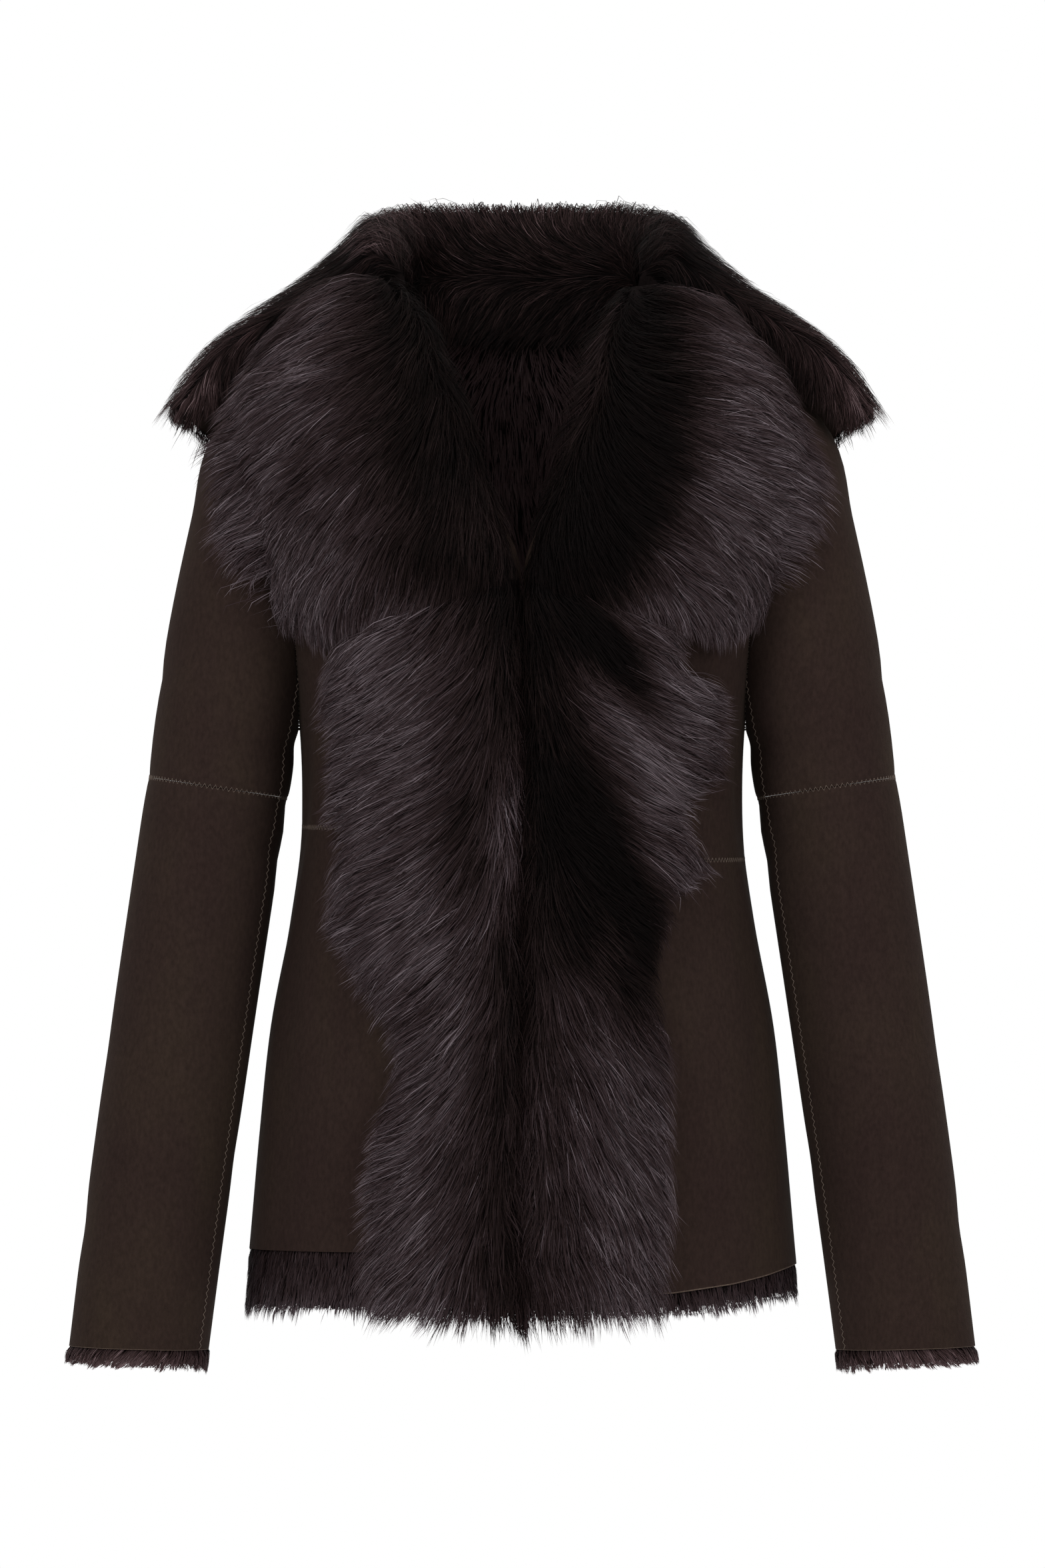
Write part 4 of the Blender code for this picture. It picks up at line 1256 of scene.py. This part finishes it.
def collar_fall(patch, rng):
    """Hair over the fold and down the fall, darker at the fold and towards the front ends, and
    lighter towards the edge as painted rim light.
    """
    def flow(across, down, to_across, to_down):
        return unit(to_across) + unit(to_down) * (0.10 * (0.5 - down))[:, None]

    roots = patch.scatter(rng, 22000, (0.30, 0.99), (0.0, 1.0))
    height = np.interp(roots[0], (0.30, 0.42, 0.55, 0.9, 1.0), (6.5, 5.2, 4.5, 4.2, 3.6))
    # Painted rim light: the hair gets lighter out towards the fall's edge.
    tone = np.interp(roots[0], (0.30, 0.45, 0.70, 0.9, 1.0), (0.10, 0.26, 0.43, 0.52, 0.60))
    near_front = np.interp(np.abs(roots[1] - 0.5), (0.30, 0.45), (0.0, 1.0))
    tone -= 0.20 * near_front * np.interp(roots[0], (0.6, 0.9), (1.0, 0.2))
    return wool("collar_fall_hair", patch, roots, flow, 31.0, height, rng, tone,
                reach=((-FREE, 1.04), (-0.01, 1.01)))


def collar_stand(patch, rng):
    """Hair inside the stand: swept to one side behind the neck, upright near the front."""
    def flow(across, down, to_across, to_down):
        upward = unit(to_across)
        turned = np.clip(np.abs(down - 0.5) * 4.0 - 0.7, 0.0, 1.0)
        top = np.clip((across - 0.18) / 0.12, 0.0, 1.0)
        low = np.clip((0.16 - across) / 0.08, 0.0, 1.0)
        swept = np.array((-1.0, 0.0, 0.0)) + upward * 0.35
        lifted = between(swept, upward, np.maximum(turned, top)[:, None])
        return lifted - upward * (low * 1.7)[:, None]

    roots = patch.scatter(rng, 9000, (0.0, 0.36), (0.0, 1.0))
    height = np.interp(roots[0], (0.0, 0.15, 0.28, 0.36), (6.0, 6.5, 7.0, 7.0))
    # Painted light and shade: dark low in the stand, in the shade inside the collar, and lighter
    # towards its top and on the wearer's right side, where more light falls.
    right_side = np.clip((0.5 - roots[1]) * 3.0, -1.0, 1.0)
    tone = 0.05 + 0.30 * np.clip(roots[0] / 0.3, 0.0, 1.0) ** 2 * (1.0 + 0.6 * right_side)
    return wool("collar_stand_hair", patch, roots, flow, 25.0, height, rng, tone,
                HAIR_WIDTH * 1.15, contrast=1.6, steps=2, reach=((-0.30, FREE), (0.0, 1.0)))


def collar_end(side, place, rng):
    """Hair over the wool's cut end at one front end."""
    def flow(across, down, to_across, to_down):
        return unit(to_across) - unit(to_down) * (1.15 - 0.95 * down)[:, None]

    # Painted light and shade: darker low on the end, in the shade under the fall, and lighter
    # towards its top and its tip as painted rim light.
    def tone(across, down):
        return (np.interp(down, (-0.6, 0.4, 1.0), (0.08, 0.22, 0.40))
                + np.interp(across, (0.5, 0.85, 1.05), (-0.18, 0.0, 0.30)))

    layers = np.concatenate([collar_points([place], share) for share in np.linspace(0.0, 0.9, 5)])
    patch = Patch(refined(layers, 5, 41), FORWARD)
    roots = patch.scatter(rng, 3600, (0.25, 1.0), (0.0, 1.0))
    height = np.interp(roots[0], (0.25, 0.5, 1.0), (8.0, 8.0, 5.0))
    return wool("collar_end_hair_" + side, patch, roots, flow, 27.0, height, rng, tone,
                contrast=1.3, reach=((-FREE, 1.08), (-2.3, 1.3)), ragged=(0.03, 0.03))


def collar_rim(places, rng):
    """Short tufts round the fall's cut edge."""
    def flow(across, down, to_across, to_down):
        return unit(-to_down) - UP * 0.3

    layers = np.stack([collar_points(places, share)[:, -1] for share in (0.0, 0.27, 0.53, 0.8)])
    rim = refined(layers, 4, 161)
    patch = Patch(rim, rim * LEVEL)
    roots = patch.scatter(rng, 4200)
    return wool("collar_rim_hair", patch, roots, flow, 9.0, 6.0, rng, np.full(4200, 0.55),
                HAIR_WIDTH * SHORT_HAIR, steps=2, reach=((-0.01, 1.01), (-0.6, 1.2)))


def make_collar():
    """The collar: underwool, and hair on its stand, over its fold, down its fall and over
    both front ends."""
    places = np.linspace(-1.0, 1.0, 65)
    outer, inner = (refined(collar_points(places, share), 81, 31)
                    for share in (COLLAR_UNDER, 0.0))
    under = shell("collar_underwool", "collar", "wool", outer, inner,
                  (UNDERWOOL, SUEDE, UNDERWOOL))
    patch = Patch(outer, UP + outer * LEVEL * 0.01)
    rng = np.random.default_rng(FUR_SEED)
    made = [collar_fall(patch, rng), collar_stand(patch, rng),
            collar_end("right", -1.0, rng), collar_end("left", 1.0, rng),
            collar_rim(places, rng)]
    return under, inner, made


def make_lining():
    """The wool inside the back, seen through the open neck."""
    def flow(across, down, to_across, to_down):
        return unit(to_down) + unit(to_across) * (0.5 - across)[:, None] * 0.5

    across, down = grid(31, 41)
    points = body_points(between(-0.36, 0.36, across), between(-1.0, -210.0, down), BODY_WALL)
    patch = Patch(points, -points * LEVEL)
    rng = np.random.default_rng(FUR_SEED + 1)
    roots = patch.scatter(rng, 12000)
    # Painted light and shade: light overall and lightest down the middle, where light comes in at
    # the open neck, and darker towards the sides and low down, deep inside the back.
    off_middle = np.abs(roots[0] - 0.5)
    tone = 0.64 + 0.12 * np.exp(-(off_middle / 0.10) ** 2)
    tone -= 1.6 * np.maximum(np.maximum(off_middle - 0.22, roots[1] - 0.72), 0.0)
    return wool("lining_hair", patch, roots, flow, 22.0, 3.0, rng, tone, HAIR_WIDTH * 2.0,
                contrast=0.25, steps=2, sweep=7.0, curl=4.0, locks=((2.4, 0.15), (11.0, 0.06)),
                reach=((-FREE, FREE), (-0.02, FREE)))


def make_hem(side, first, last, count, seed):
    """Wool past the suede's lower edge, between two turns."""
    def flow(across, down, to_across, to_down):
        return unit(to_down)

    rng = np.random.default_rng(seed)
    turn = np.linspace(first, last, 121)
    top = hem_z(side, turn) - SEAM
    tips = read_off(HEM_TIPS, body_points(turn, top)[:, 0])
    low = np.minimum(tips + rng.uniform(2.5, 8.0, len(turn)), top - 2.0)
    z = between(top, low, np.linspace(0.0, 1.0, 6)[:, None])
    under = shell("hem_underwool_" + side, "hem_wool_" + side, "wool",
                  body_points(turn, z, 2.6), body_points(turn, z, 8.0), ALL_WOOL)
    points = body_points(turn, between(top + 7.0, tips, np.linspace(0.0, 1.0, 12)[:, None]), 2.4)
    patch = Patch(points, points * LEVEL)
    roots = patch.scatter(rng, count, (0.0, 1.0), (0.0, 0.92))
    hair = wool("hem_hair_" + side, patch, roots, flow, 16.0, 2.2, rng,
                lambda across, down: 0.42 + 0.34 * down ** 4, HAIR_WIDTH * HEM_HAIR, HAIR, 0.45,
                steps=2, locks=((2.8, 0.65), (8.0, 0.30)), sweep=5.0,
                reach=((-0.01, 1.01), (-FREE, 1.12)), ragged=(0.02, 0.11))
    return [under, hair]


def make_cuff(side, seed):
    """Wool past the suede's edge at a cuff."""
    mirror = mirrored(side)
    start = CUFF + SEAM / ARM_FALL[CUFF]

    def ring(first, last, rows, inset, angles):
        top, bottom = (arm_points(place + 0.0 * angles, angles, inset)
                       for place in (start, CUFF + 1.0))
        return between(top, bottom, np.linspace(first, last, rows)[:, None, None]) * mirror

    def flow(across, down, to_across, to_down):
        return unit(to_down) + unit(to_across) * 0.45

    angles = np.linspace(0.0, 2.0 * np.pi, 49)
    under = shell("cuff_underwool_" + side, "cuff_wool_" + side, "wool",
                  ring(0.0, 0.62, 5, 1.6, angles[:-1]), ring(0.0, 0.62, 5, 9.0, angles[:-1]),
                  ALL_WOOL, ring=True)
    points = ring(-0.22, 1.0, 9, 0.6, angles)
    patch = Patch(points, (points - np.array(ARM[CUFF][:3]) * mirror) * LEVEL)
    rng = np.random.default_rng(seed)
    roots = patch.scatter(rng, 3800, (0.0, 1.0), (0.0, 0.84))
    hair = wool("cuff_hair_" + side, patch, roots, flow, 11.0, 1.8, rng,
                lambda across, down: 0.46 + 0.36 * down ** 1.5, HAIR_WIDTH * SHORT_HAIR,
                contrast=0.7, steps=2, locks=((3.0, 0.55), (9.0, 0.30)), sweep=9.0,
                reach=((-FREE, FREE), (-FREE, 1.02)), ragged=(0.02, 0.09))
    return [under, hair]


def make_coat():
    """Every piece."""
    edge = float(front_edge_turn(np.array(RIGHT_HEM_Z)))
    arms = [arm_hollow("right"), arm_hollow("left")]
    armhole = armhole_places()
    hems = {
        "back": make_hem("back", -0.499, 0.499, 6000, FUR_SEED + 6),
        "right": make_hem("right", -edge, -0.501, 6200, FUR_SEED + 7),
        "left": make_hem("left", edge, 0.501, 3200, FUR_SEED + 8),
    }
    back, back_cut = make_back(arms)
    [make_lining()] + hems["back"]
    for number, side in enumerate(("right", "left")):
        fronts = make_front(side, arms[number])
        sleeves = make_sleeve(side, armhole)
        sewn = make_stitching(side, armhole)
        cuff = make_cuff(side, FUR_SEED + 9 + number)
    for arm in arms:
        bpy.data.objects.remove(arm)
    for number, (name, *looks) in enumerate(LEAVES):
        under, cut, hair = make_leaf(name, *looks, FUR_SEED + 2 + number)
    under, cut, hair = make_collar()


# ---- stage, light and camera

IMAGE_HEIGHT_PX = 2352
PIXEL = 0.42           # millimetres of the coat for each pixel of the photograph's frame
VIEW_CENTRE = (0.2, -283.9)
VIEW_DISTANCE = 10000.0
FLOOR_Z = -1420.0
FLOOR_REACH = 5000.0
CHEST = (0.0, 0.0, -0.25)    # in metres, as the lights' places are


def make_camera():
    """A long lens, level with the middle of the frame."""
    data = bpy.data.cameras.new("camera")
    data.sensor_fit = "VERTICAL"
    data.sensor_height = 36.0
    data.lens = data.sensor_height * VIEW_DISTANCE / (IMAGE_HEIGHT_PX * PIXEL)
    camera = link("camera", data)
    camera.location = (VIEW_CENTRE[0] * MM, -VIEW_DISTANCE * MM, VIEW_CENTRE[1] * MM)
    camera.rotation_euler = (math.radians(90.0), 0.0, 0.0)
    bpy.context.scene.camera = camera


def make_light(name, location, size, energy, colour):
    """A soft square light that points at the coat's chest."""
    data = bpy.data.lights.new(name, "AREA")
    data.shape = "SQUARE"
    data.size = size
    data.energy = energy
    data.color = colour
    light = link(name, data)
    light.location = location
    to = np.array(CHEST) - np.array(location)
    yaw = math.atan2(to[1], to[0]) - math.pi / 2.0
    pitch = math.acos(-to[2] / np.linalg.norm(to))
    light.rotation_euler = (pitch, 0.0, yaw)


def make_stage():
    """Pale floor, white surroundings and soft lights."""
    turns = np.linspace(0.0, 2.0 * np.pi, 65)[:-1]
    rim = np.stack((np.cos(turns) * FLOOR_REACH, np.sin(turns) * FLOOR_REACH,
                    np.full_like(turns, FLOOR_Z)), axis=1)
    material, _, shader = new_material("floor", 0.9)
    shader.inputs["Base Color"].default_value = (0.90, 0.90, 0.90, 1.0)
    link("floor", new_mesh("floor", rim, [list(range(len(rim)))], (material,)))

    world = bpy.data.worlds.new("world")
    world.use_nodes = True
    background = world.node_tree.nodes["Background"]
    background.inputs["Color"].default_value = (1.0, 1.0, 1.0, 1.0)
    background.inputs["Strength"].default_value = 1.0
    bpy.context.scene.world = world
    bpy.context.scene.view_settings.view_transform = "Standard"

    make_light("key", (-1.5, -2.2, 1.0), 0.9, 45.0, (0.95, 0.96, 1.0))
    make_light("fill", (1.6, -2.0, 0.8), 0.9, 38.0, (0.95, 0.96, 1.0))
    make_light("top", (0.0, -0.2, 2.0), 0.8, 20.0, (1.0, 0.98, 0.96))


make_camera()
make_stage()
make_coat()
